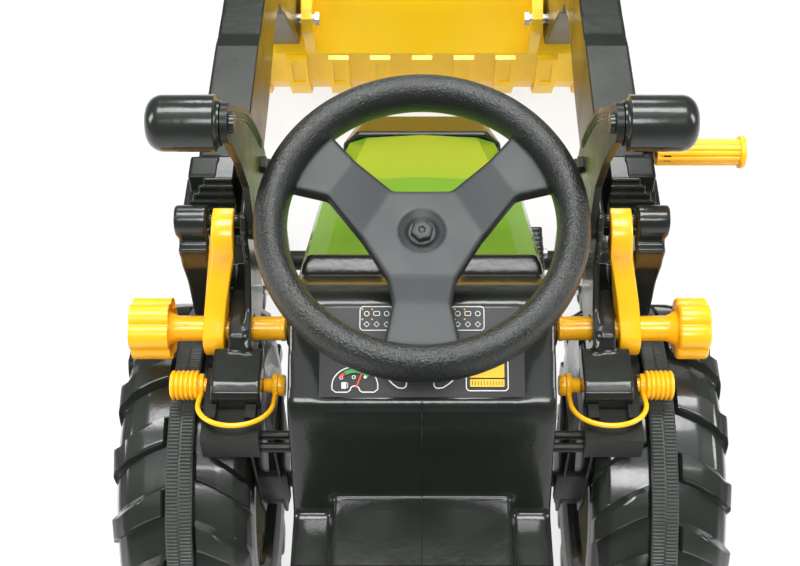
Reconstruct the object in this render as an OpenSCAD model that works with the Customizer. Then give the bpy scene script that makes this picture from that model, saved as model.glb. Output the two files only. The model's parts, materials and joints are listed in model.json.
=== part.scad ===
/* [Rear wheels] */
// Radius of a rear wheel over its rubber band
rear_r = 172; // [155:1:172]
// Width of a rear tyre
rear_w = 118; // [95:1:125]
// Distance from the middle of the tractor to the inner face of a rear tyre
rear_in = 147; // [146:1:155]
// Number of bar lugs in one row of a rear tyre
rear_lugs = 17; // [13:1:19]
// Height of a lug over the tyre body
lug_h = 11; // [6:1:14]
// Width of the rubber band of a rear tyre
band_w = 25; // [16:1:32]

/* [Front wheels] */
// Radius of a front wheel
front_r = 100; // [90:1:106]
// Width of a front tyre
front_w = 62; // [45:1:64]
// Distance from the rear axle to the front axle
wheelbase = 370; // [360:5:375]
// Distance from the middle to a kingpin
kingpin_x = 182; // [176:1:184]

/* [Steering] */
// Outer radius of the steering wheel
wheel_r = 135; // [110:1:135]
// Width of the steering wheel rim
rim_w = 27; // [20:1:30]
// Depth of the steering wheel rim
rim_d = 38; // [27:1:42]
// Lean of the steering wheel towards the driver, in degrees
wheel_lean = 14.4; // [10:0.2:16]
// Height of the steering wheel's middle over the ground
wheel_z = 499.5; // [490:0.5:515]

/* [Loader] */
// Distance from the middle to the inner face of a loader arm
arm_in = 150; // [148:1:156]
// Width of a loader arm
arm_w = 40; // [32:1:44]
// Depth of the straight part of a loader arm
arm_h = 90; // [74:1:96]
// Height of the loader pivot over the ground
pivot_z = 469; // [466:1:476]
// Distance from the rear axle forward to the loader pivot
pivot_y = 72; // [70:1:76]
// Radius of the loader pivot pins
pin_r = 6; // [5:0.5:8]
// Width of the bucket
bucket_w = 470; // [400:10:500]
// Length of the bucket floor
bucket_l = 290; // [220:5:320]
// Thickness of the bucket walls
bucket_t = 4; // [3:0.5:6]
// Number of heel ribs on the back of the bucket
heel_ribs = 9; // [5:2:9]

/* [Mounting] */
// Radius of a star knob
knob_r = 26.5; // [20:0.5:28]
// Radius of the bar that a star knob turns
bar_r = 11; // [8:0.5:12]
// Radius of the ribbed head of a locking pin
plug_r = 12.7; // [10:0.1:13]
// Width of a yellow lock lever
lever_w = 18; // [14:1:18]

/* [Cockpit] */
// Half width of the cockpit body
body_hw = 110; // [98:1:112]
// Half width of the raised seat platform
deck_hw = 75; // [60:1:85]
// Wall thickness of the hood
hood_t = 3; // [2.5:0.5:5]
// Wall thickness of the bearing lugs of the chassis
rail_w = 16; // [12:1:18]

/* [Hidden] */
$fn = 48;

// running clearance between a pin and its hole, and gap between faces that move
fit = 0.05;
gap = 0.3;

// colours, as on the real toy
black = [0.04, 0.04, 0.04];
steel_black = [0.09, 0.09, 0.09];
rubber = [0.12, 0.12, 0.12];
yellow = [0.98, 0.72, 0.02];
green = [0.35, 0.66, 0.08];
zinc = [0.7, 0.71, 0.72];

// places that several pieces share, seen from the right: y forward, z up
bar_y = 22;
bar_z = 386;
lock_y = -22;
lock_z = 364;
roll_y = 26;
roll_z = 625;
hinge_y = 597;
hinge_z = 250;
grip_y = 105;
grip_z = 516;
tip_y = 170;
tip_z = 455;
crank_y = 226;
crank_z = 165;
wheel_y = 43;
joint_t = 174.8;
joint_y = wheel_y + joint_t * sin(wheel_lean);
joint_z = wheel_z - joint_t * cos(wheel_lean);
lower_y = wheelbase - 48;
lower_z = front_r + 40;
axle_r = 8;
roller_r = 20.5;
steer_arm = 60;
floor_z = 84;
lip_y = 640 + bucket_l;
// outer side view of the bucket's back and heel, from the top edge down to the floor
bucket_back = [[672, 326], [634, 262], [611, 182], [619, 128], [640, 99], [660, floor_z]];
back_y = -390;
half_w = rear_in + rear_w;

// the finished model stands with the middle of its outline over the origin
shift_y = -(lip_y + back_y) / 2;

module placed() {
  translate([0, shift_y, 0]) children();
}

module left() {
  mirror([1, 0, 0]) children();
}

module both() {
  children();
  left() children();
}

// draws a side view outline of (y, z) points as a slab from x0 to x1
module slab(x0, x1) {
  translate([x0, 0, 0]) rotate([90, 0, 90]) linear_extrude(x1 - x0) children();
}

// a round bar across the tractor
module bar_x(x0, x1, y, z, r) {
  translate([x0, y, z]) rotate([0, 90, 0]) cylinder(h = x1 - x0, r = r);
}

module box(x0, x1, y0, y1, z0, z1) {
  translate([x0, y0, z0]) cube([x1 - x0, y1 - y0, z1 - z0]);
}

// puts a shape turned about the X axis at a wheel centre
module about_x(x, y, z) {
  translate([x, y, z]) rotate([0, 90, 0]) children();
}

module disc2(y, z, r) {
  translate([y, z]) circle(r);
}

// ---------------------------------------------------------------- tyres

// one half of the tread envelope as (radius, distance from the band)
module tread_half(r, w, b) {
  polygon([[r - 34, b], [r - 0.8, b], [r - 3, w / 2 - 16], [r - 9, w / 2 - 4],
           [r - 16, w / 2], [r - 34, w / 2]]);
}

// a tyre body: two side walls, a shoulder each side and a raised band seat
module tyre_body(r, w, rim_r, b, seat_r) {
  h = w / 2;
  low = r - lug_h;
  rotate_extrude()
    polygon([[rim_r, -h + 12], [rim_r + 8, -h + 3], [r - 40, -h + 1], [r - 22, -h + 4],
             [low - 4, -h + 12], [low, -h + 24], [low, -b], [seat_r, -b], [seat_r, b],
             [low, b], [low, h - 24], [low - 4, h - 12], [r - 22, h - 4], [r - 40, h - 1],
             [rim_r + 8, h - 3], [rim_r, h - 12]]);
}

// a row of slanted bars, cut to the tread envelope
module lug_row(r, w, b, n, lead) {
  intersection() {
    rotate_extrude() tread_half(r, w, b);
    for (i = [0 : n - 1])
      rotate([0, 0, (i + lead) * 360 / n])
        translate([r - 40, 0, b - 4])
          rotate([24, 0, 0]) translate([0, -8, 0]) cube([50, 16, w]);
  }
}

module tyre(r, w, rim_r, b, n, seat_r) {
  tyre_body(r, w, rim_r, b, seat_r);
  lug_row(r, w, b, n, 0);
  mirror([0, 0, 1]) lug_row(r, w, b, n, 0.5);
}

// a dished wheel disc with a hub bore, a rolled outer edge and a bolt circle
module rim(r, w, hub_r, bore) {
  difference() {
    rotate_extrude()
      polygon([[0, -w * 0.18], [hub_r, -w * 0.18], [hub_r + 4, -w * 0.1], [r * 0.72, -w * 0.1],
               [r - 8, -w / 2], [r, -w / 2], [r, w / 2], [r - 8, w / 2], [r * 0.72, 0.02 * w],
               [hub_r + 4, 0.02 * w], [hub_r, w * 0.3], [0, w * 0.3]]);
    translate([0, 0, -w]) cylinder(h = 2 * w, r = bore);
    for (i = [0 : 7])
      rotate([0, 0, i * 45]) translate([r * 0.55, 0, -w]) cylinder(h = 2 * w, r = r * 0.05);
  }
}

rear_rim_r = rear_r * 0.55;
rear_seat_r = rear_r - 5;
rear_mid = rear_in + rear_w / 2;
module rear_wheel() {
  color(black) about_x(rear_mid, 0, rear_r)
    tyre(rear_r, rear_w, rear_rim_r, band_w / 2, rear_lugs, rear_seat_r);
}

module rear_bands() {
  color(rubber) both() about_x(rear_mid, 0, rear_r)
    difference() {
      cylinder(h = band_w - 2 * fit, r = rear_r, center = true, $fn = 96);
      cylinder(h = band_w + 1, r = rear_seat_r + fit, center = true, $fn = 96);
    }
}

module rear_rims() {
  color(yellow) both() about_x(rear_mid, 0, rear_r)
    rim(rear_rim_r - fit, rear_w - 30, 26, axle_r + fit);
}

front_rim_r = front_r * 0.55;
front_in = kingpin_x + 10;
front_mid = front_in + front_w / 2;
module front_wheel() {
  color(black) about_x(front_mid, wheelbase, front_r)
    tyre(front_r, front_w, front_rim_r, 7, 13, front_r);
}

module front_rim() {
  color(yellow) about_x(front_mid, wheelbase, front_r)
    rim(front_rim_r - fit, front_w - 14, 18, 6 + fit);
}

// ---------------------------------------------------------------- driveline

module rear_axle() {
  color(zinc) {
    bar_x(-half_w + 14, half_w - 14, 0, rear_r, axle_r);
    both() bar_x(rear_mid + 0.3 * (rear_w - 30), half_w - 14, 0, rear_r, axle_r + 7);
  }
}

sprocket_in = 56;
sprocket_t = 4;
// a toothed wheel, its teeth just inside the line of the chain
module toothed(r, teeth, t) {
  root = r - 5;
  tip = r - 0.8;
  step = 360 / teeth;
  linear_extrude(t)
    polygon([for (i = [0 : teeth - 1], k = [[-0.28, root], [-0.14, tip], [0.14, tip], [0.28, root]])
      let (a = (i + k[0]) * step) [k[1] * cos(a), k[1] * sin(a)]]);
}

rear_sprocket_r = 30;
front_sprocket_r = 46;
module drive_sprocket() {
  color(zinc) about_x(sprocket_in, 0, rear_r)
    difference() {
      toothed(rear_sprocket_r, 14, sprocket_t);
      translate([0, 0, -1]) cylinder(h = sprocket_t + 2, r = axle_r + fit);
    }
}

crank_l = 80;
crank_arm_in = 68;
pedal_in = 82;
pedal_w = 44;
module crank_arm(dir) {
  slab(crank_arm_in, crank_arm_in + 9)
    polygon([for (a = [0 : 20 : 180]) [crank_y + 13 * cos(a), crank_z - dir * 13 * sin(a)],
             for (a = [180 : 20 : 360])
               [crank_y + 10 * cos(a), crank_z + dir * (crank_l - 10 * sin(a))]]);
  bar_x(crank_arm_in + 4, pedal_in + pedal_w + 4, crank_y, crank_z + dir * crank_l, 5);
}

module crank() {
  color(zinc) {
    bar_x(-crank_arm_in - 4, crank_arm_in + 4, crank_y, crank_z, 7);
    crank_arm(1);
    left() crank_arm(-1);
    about_x(sprocket_in, crank_y, crank_z) toothed(front_sprocket_r, 22, sprocket_t);
  }
}

// a moulded pedal block with tread bars on both faces
module pedal(dir) {
  z = crank_z + dir * crank_l;
  color(black) difference() {
    union() {
      box(pedal_in, pedal_in + pedal_w, crank_y - 28, crank_y + 28, z - 9, z + 9);
      for (i = [-2 : 2])
        box(pedal_in, pedal_in + pedal_w, crank_y + i * 12.5 - 2.5, crank_y + i * 12.5 + 2.5,
            z - 12, z + 12);
    }
    bar_x(pedal_in - 1, pedal_in + pedal_w + 1, crank_y, z, 5 + fit);
  }
}

// side view of the chain run: two arcs joined by straight tangents
module chain_loop(extra) {
  hull() {
    disc2(0, rear_r, rear_sprocket_r + extra);
    disc2(crank_y, crank_z, front_sprocket_r + extra);
  }
}

module drive_chain() {
  color(steel_black) slab(sprocket_in - 0.5, sprocket_in + sprocket_t + 0.5)
    difference() {
      chain_loop(6);
      chain_loop(0);
    }
}

// a flat cover over the chain, open inwards, with a hole for the crank shaft
module chain_guard() {
  color(black) difference() {
    slab(sprocket_in - 2, sprocket_in + 10) chain_loop(10);
    slab(sprocket_in - 3, sprocket_in + 7.5) chain_loop(7);
    bar_x(0, 90, crank_y, crank_z, 9);
    bar_x(0, 90, 0, rear_r, axle_r + 2);
  }
}

// ---------------------------------------------------------------- chassis

rail_in = 30;
rail_out = rail_in + rail_w;
rail_z0 = 192;
rail_z1 = 216;
cockpit_seats = [-92, 84];
post_y0 = wheelbase - 9;
post_y1 = wheelbase + 14;
module bearing_lug(y, z, r) {
  both() difference() {
    slab(rail_in, rail_out)
      union() {
        disc2(y, z, r + 11);
        translate([y - r - 11, z]) square([2 * r + 22, rail_z0 + 2 - z]);
      }
    bar_x(rail_in - 1, rail_out + 1, y, z, r + fit);
  }
}

module chassis_frame() {
  color(steel_black) {
    both() box(rail_in, rail_out, -96, wheelbase + 14, rail_z0, rail_z1);
    box(-rail_out, rail_out, -96, -72, rail_z0, rail_z1);
    box(-rail_in, rail_in, wheelbase - 14, wheelbase + 14, rail_z0, rail_z1);
    bearing_lug(0, rear_r, axle_r);
    bearing_lug(crank_y, crank_z, 7);
    // post over the front axle beam and the tail beam for the hitch
    box(-20, 20, post_y0, post_y1, beam_z + beam_r + 4, rail_z0);
    box(-24, 24, -350, -96, rail_z0, rail_z1);
    // seats for the cockpit body
    for (y = cockpit_seats)
      both() box(rail_in, rail_out, y, y + 24, rail_z1, body_low);
    // bush that steadies the lower steering shaft
    lower_bush();
  }
}

lower_len = sqrt(pow(lower_y - joint_y, 2) + pow(joint_z - lower_z, 2));
lower_ang = atan2(joint_z - lower_z, lower_y - joint_y);
// places a shape along the lower steering shaft, with t along it from the joint
module along_lower(t) {
  translate([0, joint_y, joint_z]) rotate([-90 - lower_ang, 0, 0]) translate([0, 0, t]) children();
}

module lower_bush() {
  difference() {
    union() {
      along_lower(lower_len - 40) cylinder(h = 18, r = 13);
      difference() {
        box(-rail_in, rail_in, lower_y - 34, lower_y - 26, lower_z + 8, rail_z1);
        along_lower(0) cylinder(h = lower_len, r = 12);
      }
    }
    along_lower(lower_len - 60) cylinder(h = 50, r = 7 + fit);
  }
}

tie_y = wheelbase - steer_arm;
tie_z = front_r - 16;
// how far below the shaft, and past its end, its crank pin meets the tie rod
pitman_l = (lower_y - tie_y) * sin(lower_ang) + (lower_z - tie_z) * cos(lower_ang);
pitman_t = (tie_y - lower_y) * cos(lower_ang) + (lower_z - tie_z) * sin(lower_ang);
module lower_shaft() {
  color(zinc) {
    along_lower(12) cylinder(h = lower_len - 12, r = 7);
    along_lower(lower_len - 4) translate([-7, -8, 0]) cube([14, pitman_l + 12, 8]);
    along_lower(lower_len + 2) translate([0, pitman_l, 0]) cylinder(h = pitman_t + 10, r = 4);
    // fork and ball of the universal joint
    along_lower(13) cylinder(h = 6, r = 12);
    for (x = [-12, 8]) along_lower(-3) translate([x, -3, 0]) cube([4, 6, 17]);
    along_lower(0) sphere(r = 7.6);
    bar_x(-9, 9, joint_y, joint_z, 3);
  }
}

// puts a shape in the steering wheel's own frame: z along the column, origin at the rim
module in_wheel() {
  translate([0, wheel_y, wheel_z]) rotate([wheel_lean, 0, 0]) children();
}

module steering_shaft() {
  color(zinc) in_wheel() {
    translate([0, 0, -joint_t + 12]) cylinder(h = joint_t - 12 + hub_z, r = 8);
    translate([0, 0, -joint_t + 8]) cylinder(h = 8, r = 12);
    for (s = [-1, 1])
      translate([-4, s * 10 - 2, -joint_t - 5]) cube([8, 4, 16]);
  }
}

hub_z = -28;
hub_t = 13;
web_t = 11;
// corners of the hub plate, and of the spoke facets as [across, up, height of the top face]
plate_top = hub_z + hub_t;
hub_plate = [[-24, 37], [24, 37], [49, -6], [28, -41], [-28, -41], [-49, -6]];
upper_inner = [[22, 35, plate_top], [46, -5, plate_top], [77, 26, -3], [56, 60, -3]];
upper_outer = [[77, 26, -3], [56, 60, -3], [80, 87, 1], [113, 33, 1]];
lower_inner = [[-25, -40, plate_top], [25, -40, plate_top], [23, -68, -3], [-23, -68, -3]];
lower_outer = [[23, -68, -3], [-23, -68, -3], [-31, -112, 1], [31, -112, 1]];

// one flat facet of a spoke between its corners
module facet(corners) {
  hull()
    for (c = corners)
      translate([c[0], c[1], c[2] - web_t]) cylinder(h = web_t, r = 2.5, $fn = 12);
}

module steering_wheel() {
  stad = (rim_d - rim_w) / 2;
  color(black) in_wheel() {
    rotate_extrude($fn = 96) {
      translate([wheel_r - rim_w / 2, stad]) circle(rim_w / 2);
      translate([wheel_r - rim_w / 2, -stad]) circle(rim_w / 2);
      translate([wheel_r - rim_w, -stad]) square([rim_w, 2 * stad]);
    }
    difference() {
      union() {
        translate([0, 0, hub_z]) linear_extrude(hub_t) polygon(hub_plate);
        both() {
          facet(upper_inner);
          facet(upper_outer);
        }
        facet(lower_inner);
        facet(lower_outer);
      }
      translate([0, 0, hub_z + 7]) cylinder(h = 20, r = 20);
      translate([0, 0, hub_z - 1]) cylinder(h = 20, r = 5 + fit);
    }
  }
}

module hub_nut() {
  color(black) in_wheel() {
    translate([0, 0, hub_z + 7]) cylinder(h = 4, r = 12);
    translate([0, 0, hub_z]) cylinder(h = 7, r = 5);
    translate([0, 0, hub_z + 11]) cylinder(h = 3, r = 8, $fn = 6);
  }
}

// ---------------------------------------------------------------- front axle

fork_h = 34;
beam_z = front_r - 38;
beam_r = 12;
// the steering knuckles turn between fork plates at the ends of a low beam
module front_axle_beam() {
  color(steel_black) difference() {
    union() {
      bar_x(-kingpin_x + 18, kingpin_x - 18, wheelbase, beam_z, beam_r);
      box(-20, 20, post_y0, post_y1, beam_z, beam_z + beam_r + 4);
      both() {
        box(kingpin_x - 20, kingpin_x - 16, wheelbase - 14, wheelbase + 14,
            beam_z - beam_r, front_r + fork_h / 2 + 6);
        for (s = [-1, 1])
          translate([kingpin_x, wheelbase, front_r + s * (fork_h / 2 + 3)])
            fork_plate();
      }
    }
    both() translate([kingpin_x, wheelbase, front_r - 40]) cylinder(h = 80, r = 5 + fit);
  }
}

module fork_plate() {
  translate([0, 0, -3]) {
    cylinder(h = 6, r = 9);
    translate([-20, -9, 0]) cube([20, 18, 6]);
  }
}

module knuckle() {
  color(zinc) {
    translate([kingpin_x, wheelbase, front_r - fork_h / 2 + gap])
      cylinder(h = fork_h - 2 * gap, r = 10);
    translate([kingpin_x, wheelbase, front_r - fork_h / 2 - 10])
      cylinder(h = fork_h + 20, r = 5);
    bar_x(kingpin_x, front_in + front_w - 6, wheelbase, front_r, 6);
    // steering arm to the rear, with the tie rod's stud under it
    box(kingpin_x - 7, kingpin_x + 7, wheelbase - steer_arm - 7, wheelbase,
        front_r - 4, front_r + 4);
    translate([kingpin_x, wheelbase - steer_arm, front_r - 22]) cylinder(h = 20, r = 4);
  }
}

module tie_rod() {
  color(zinc) difference() {
    union() {
      bar_x(-kingpin_x + 5, kingpin_x - 5, tie_y, tie_z, 5);
      both() translate([kingpin_x, tie_y, tie_z - 5]) cylinder(h = 10, r = 8);
      box(-12, 12, tie_y - 18, tie_y + 40, tie_z - 5, tie_z + 5);
    }
    both() translate([kingpin_x, tie_y, tie_z - 20]) cylinder(h = 40, r = 4 + fit);
    // slot in which the crank pin of the lower shaft works
    box(-4.6, 4.6, tie_y - 13, tie_y + 34, tie_z - 9, tie_z + 9);
  }
}

// ---------------------------------------------------------------- bodywork

deck_z = 292;
plat_z = 310;
dash_lo = [-61, 400];
dash_hi = [13, 433.6];
dash_ang = atan2(dash_hi[1] - dash_lo[1], dash_hi[0] - dash_lo[0]);
dash_len = sqrt(pow(dash_hi[0] - dash_lo[0], 2) + pow(dash_hi[1] - dash_lo[1], 2));
body_front = 130;
body_low = 240;

// side view of the cockpit: deck, rear face, dash, hump and front
module cockpit_side() {
  polygon([[-352, 256], [-340, body_low], [body_front - 10, body_low], [body_front, body_low + 10],
           [body_front, 346], [hood_y0 - gap, 358], [hood_y0 - gap, 401], [90, 404.5], [64, 407],
           [40, 425], [22, 434], dash_hi, dash_lo,
           [-66, 396], [-72, 384], [-104, deck_z], [-345, deck_z], [-352, 284]]);
}

// plan view: straight flanks, drawn in at the hump
module cockpit_plan() {
  polygon([[-body_hw + 6, -352], [body_hw - 6, -352], [body_hw, -346], [body_hw, 40],
           [body_hw - 6, 88], [body_hw - 16, body_front], [-body_hw + 16, body_front],
           [-body_hw + 6, 88], [-body_hw, 40], [-body_hw, -346]]);
}

// collar round the steering column
module column_collar(extra) {
  in_wheel() translate([0, 0, -102]) cylinder(h = 40, r1 = 34 + extra, r2 = 22 + extra);
}

module cockpit_body() {
  color(black) difference() {
    union() {
      intersection() {
        slab(-body_hw, body_hw) cockpit_side();
        translate([0, 0, 200]) linear_extrude(260) cockpit_plan();
      }
      // seat platform
      slab(-deck_hw, deck_hw)
        polygon([[-345, deck_z - 4], [-90, deck_z - 4], [-98, plat_z - 4], [-102, plat_z],
                 [-340, plat_z], [-345, plat_z - 5]]);
      column_collar(0);
      // sockets for the star knob bars
      both() bar_x(body_hw - 8, body_hw + 6, bar_y, bar_z, 17);
    }
    in_wheel() translate([0, 0, -160]) cylinder(h = 160, r = 8 + fit);
    both() bar_x(body_hw - 14, body_hw + 7, bar_y, bar_z, 5 + fit);
    for (y = cross_y) bar_x(-body_hw - 5, body_hw + 5, y, cross_z, cross_r + fit);
    // recess for the instrument panel
    on_dash() translate([-panel_hw, 2, -2]) cube([2 * panel_hw, dash_len - 6, 10]);
    // bay for the steering joint, open to the front
    box(-32, 32, 50, body_front + 5, body_low - 5, 350);
    seat_slots();
  }
}

// the plane of the instrument panel: x across, y up the slope, z out of it
module on_dash() {
  translate([0, dash_lo[0], dash_lo[1]]) rotate([dash_ang, 0, 0]) children();
}

panel_hw = 84;
// instrument panel with a round gauge, two dials and a display sunk into its face
module dash_panel() {
  color(black) on_dash() difference() {
    translate([-panel_hw + gap, 2 + gap, -2]) cube([2 * (panel_hw - gap), dash_len - 6 - 2 * gap, 1.6]);
    for (x = [-53, -15, 13]) translate([x, 16, -0.8]) cylinder(h = 5, r = 12);
    translate([39, 8, -0.8]) cube([28, 32, 5]);
    // the steering column's collar stands in the panel's upper part
    column_collar(gap);
  }
}

seat_slot_x = 40;
seat_slot_y0 = -330;
seat_slot_y1 = -178;
module seat_slots() {
  both() box(seat_slot_x - 5, seat_slot_x + 5, seat_slot_y0, seat_slot_y1, plat_z - 14, plat_z + 1);
}

// a bucket seat with side bolsters on two runners
module seat() {
  color(black) {
    difference() {
      slab(-104, 104)
        polygon([[-178, plat_z + 14], [-176, plat_z + 30], [-190, plat_z + 40],
                 [-300, plat_z + 34], [-326, plat_z + 50], [-352, plat_z + 150],
                 [-364, plat_z + 160], [-378, plat_z + 152], [-352, plat_z + 30],
                 [-336, plat_z + 4], [-200, plat_z + 4]]);
      seat_hollow();
    }
    both() box(seat_slot_x - 4.7, seat_slot_x + 4.7, -320, -220, plat_z - 10, plat_z + 6);
  }
}

// the hollow of the seat, a wide shallow trough
module seat_hollow() {
  translate([0, -135, plat_z + 96]) rotate([90, 0, 0]) linear_extrude(196)
    polygon([[-84, 80], [-76, -30], [-58, -54], [58, -54], [76, -30], [84, 80]]);
}

hood_y0 = 94;
hood_y1 = 352;
// a cross section of the hood: crowned top and chamfered shoulders
module hood_section(hw, z0, z1) {
  polygon([[-hw, z0], [-hw, z1 - 26], [-hw + 7, z1 - 9], [-hw + 26, z1 - 1], [0, z1 + 3],
           [hw - 26, z1 - 1], [hw - 7, z1 - 9], [hw, z1 - 26], [hw, z0]]);
}

module hood_solid() {
  hull() {
    translate([0, hood_y0 + 1, 0]) rotate([90, 0, 0]) linear_extrude(1)
      hood_section(112, 306, 392);
    translate([0, 240, 0]) rotate([90, 0, 0]) linear_extrude(1)
      hood_section(101, 298, 342);
    translate([0, hood_y1, 0]) rotate([90, 0, 0]) linear_extrude(1)
      hood_section(85, 262, 290);
  }
}

module hood_hollow() {
  in = hood_t;
  hull() {
    translate([0, hood_y0 - 1, 0]) rotate([90, 0, 0]) linear_extrude(1)
      hood_section(112 - in, 200, 392 - in);
    translate([0, 240, 0]) rotate([90, 0, 0]) linear_extrude(1)
      hood_section(101 - in, 200, 342 - in);
    translate([0, hood_y1 - 4, 0]) rotate([90, 0, 0]) linear_extrude(1)
      hood_section(85 - in, 200, 291 - in);
  }
}

module hood() {
  color(green) difference() {
    hood_solid();
    // hollow from below, closed at the nose end
    hood_hollow();
  }
}

module nose_section(hw, z0, z1) {
  polygon([[-hw, z0], [-hw, z1 - 18], [-hw + 16, z1], [hw - 16, z1], [hw, z1 - 18], [hw, z0]]);
}

module nose_cowl() {
  color(black) difference() {
    union() {
      hull() {
        translate([0, hood_y1 + 6, 0]) rotate([90, 0, 0]) linear_extrude(4) nose_section(86, 236, 292);
        translate([0, hood_y1 + 62, 0]) rotate([90, 0, 0]) linear_extrude(4) nose_section(76, 236, 262);
      }
      box(-70, 70, hood_y1 + 2, hood_y1 + 62, rail_z1, 250);
    }
    // grille bay and lamp bays in the front face
    box(-40, 40, hood_y1 + 52, hood_y1 + 80, 222, 252);
    both() box(46, 66, hood_y1 + 52, hood_y1 + 80, 240, 256);
  }
}

module radiator_grille() {
  color(steel_black) {
    for (i = [0 : 5])
      box(-39.7, 39.7, hood_y1 + 52, hood_y1 + 60, 223.5 + i * 4.8, 226 + i * 4.8);
    for (x = [-36, 0, 36])
      box(x - 1.5, x + 1.5, hood_y1 + 52, hood_y1 + 57, 223.5, 250);
  }
}

module headlights() {
  color([0.9, 0.9, 0.85]) both()
    box(46 + gap, 66 - gap, hood_y1 + 52, hood_y1 + 62, 240 + gap, 256 - gap);
}

// ---------------------------------------------------------------- rear hitch

module hitch_jaw() {
  color(steel_black) difference() {
    box(-22, 22, back_y, -350, rail_z0, rail_z1 + 8);
    box(-30, 30, back_y - 4, -358, rail_z0 + 9, rail_z1 - 1);
    translate([0, back_y + 18, rail_z0 - 5]) cylinder(h = 60, r = 5 + fit);
  }
}

// ---------------------------------------------------------------- loader mounts

cross_y = [-75, -63];
cross_z = 350;
cross_r = 4;
foot_in = 134;
foot_out = 182;
foot_z0 = 346;
foot_z1 = 371;
foot_y0 = -82;
foot_y1 = -9;
base_in = 150;
base_out = 163;
module foot_bracket() {
  color(steel_black) difference() {
    union() {
      box(foot_in, foot_out, foot_y0, foot_y1, foot_z0, foot_z1);
      // raised step at the rear edge, with a gap in its middle
      for (x = [[foot_in + 3, foot_in + 12], [foot_out - 12, foot_out - 3]])
        box(x[0], x[1], foot_y0 + 18, -51, foot_z1 - 1, foot_z1 + 8);
    }
    box(plate_out - gap, base_out + gap, -44, foot_y1 + 1, foot_z0 + 5, foot_z1 + 20);
    bar_x(foot_in - 1, foot_out + 1, lock_y, lock_z, pin_r + fit);
    for (y = cross_y) bar_x(foot_in - 1, foot_out - 8, y, cross_z, cross_r + fit);
  }
}

module mount_cross_bars() {
  color(steel_black)
    for (y = cross_y) bar_x(-foot_out + 9, foot_out - 9, y, cross_z, cross_r);
}

plate_in = arm_in - 6;
plate_out = arm_in - 0.5;
boss_in = arm_in + 28;
boss_out = arm_in + 55;
// tower: an inner plate, an outer column, and the heel that drops in the bracket
module tower() {
  color(black) difference() {
    union() {
      slab(plate_in, plate_out)
        polygon([[-8, 354], [84, 354], [98, 392], [102, 440], [100, 478], [90, 486],
                 [62, 486], [54, 476], [50, 440], [22, 412], [-8, 396]]);
      slab(plate_out, base_out)
        polygon([[-40, foot_z0 + 5 + gap], [86, 354], [86, 398], [46, 408], [0, 404],
                 [-14, 380], [-40, 376]]);
      // heel block that rests on the foot bracket
      slab(foot_in, foot_out - 7)
        polygon([[-50, foot_z1 + fit], [-3, foot_z1 + fit], [-3, 392], [-38, 392], [-47, 389],
                 [-50, 384]]);
      box(base_in, boss_out - 2, 58, 86, 356, 396);
      // outer column: slim foot, bellied cup and the pivot boss
      slab(boss_in, boss_out - 2)
        polygon([[60, 356], [84, 356], [86, 404], [92, 430], [94, 456], [50, 456],
                 [52, 430], [58, 404]]);
      bar_x(boss_in, boss_out, pivot_y, pivot_z, 13);
      slab(boss_in, boss_out - 2) polygon([[59, 450], [85, 450], [85, 469], [59, 469]]);
      bar_x(plate_in - 10, boss_out, pivot_y, pivot_z, pin_r);
    }
    bar_x(base_in - 10, base_out + 1, bar_y, bar_z, bar_r + fit);
    bar_x(base_in - 10, base_out + 1, lock_y, lock_z, pin_r + fit);
  }
}

module pivot_nuts() {
  color(zinc) both()
    about_x(plate_in - 14, pivot_y, pivot_z) difference() {
      cylinder(h = 5, r = 9, $fn = 6);
      translate([0, 0, 1.5]) cylinder(h = 5, r = pin_r + fit);
    }
}

eye_r = 23;
lever_top_in = arm_in + 5.5;
lever_low_in = base_out + 4.2;
// yellow lock lever: an eye on the knob bar and a hook over the pivot pin
module lock_lever() {
  color(yellow) difference() {
    union() {
      bar_x(lever_low_in - 1, lever_low_in + lever_w + 2, bar_y, bar_z, eye_r);
      hull() {
        slab(lever_low_in, lever_low_in + lever_w)
          translate([bar_y + 6, bar_z + 12]) square([16, 6], center = true);
        slab(lever_top_in, lever_top_in + lever_w)
          translate([pivot_y - 20, pivot_z - 12]) square([16, 6], center = true);
      }
      slab(lever_top_in, lever_top_in + lever_w)
        polygon([[pivot_y - 30, pivot_z - 16], [pivot_y - 22, pivot_z + 2], [pivot_y - 14, pivot_z + 9],
                 [pivot_y - 6, pivot_z + 11], [pivot_y + 4, pivot_z + 10.5],
                 [pivot_y + 5, pivot_z + 4], [pivot_y - 4, pivot_z + 2], [pivot_y - 9, pivot_z - 3],
                 [pivot_y - 12, pivot_z - 16]]);
    }
    bar_x(lever_low_in - 2, lever_low_in + lever_w + 3, bar_y, bar_z, bar_r + fit);
    bar_x(lever_top_in - 1, lever_top_in + lever_w + 1, pivot_y, pivot_z, pin_r + gap);
  }
}

lobes = 8;
knob_w = 30;
knob_x0 = half_w - 51;
module star_knob() {
  color(yellow) {
    bar_x(body_hw + 6 + gap, knob_x0, bar_y, bar_z, bar_r);
    bar_x(body_hw - 6, body_hw + 8, bar_y, bar_z, 5);
    about_x(knob_x0 - 9, bar_y, bar_z) cylinder(h = 9, r1 = bar_r, r2 = bar_r + 4);
    about_x(knob_x0, bar_y, bar_z) {
      cylinder(h = knob_w, r = knob_r - 3.5);
      for (i = [0 : lobes - 1])
        rotate([0, 0, i * 360 / lobes]) translate([knob_r - 7, 0, 0]) cylinder(h = knob_w, r = 7);
    }
  }
}

plug_in = foot_out + 7;
module locking_pin() {
  color(yellow) {
    bar_x(foot_in - 12, plug_in + 2, lock_y, lock_z, pin_r);
    for (i = [0 : 5])
      bar_x(plug_in + i * 4, plug_in + i * 4 + 2.8, lock_y, lock_z, plug_r);
    bar_x(plug_in, plug_in + 24, lock_y, lock_z, plug_r - 1.5);
  }
}

strap_r = 1.8;
strap_drop = 29;
strap_x0 = foot_in - 10;
strap_x1 = foot_out + 4.8;
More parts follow.
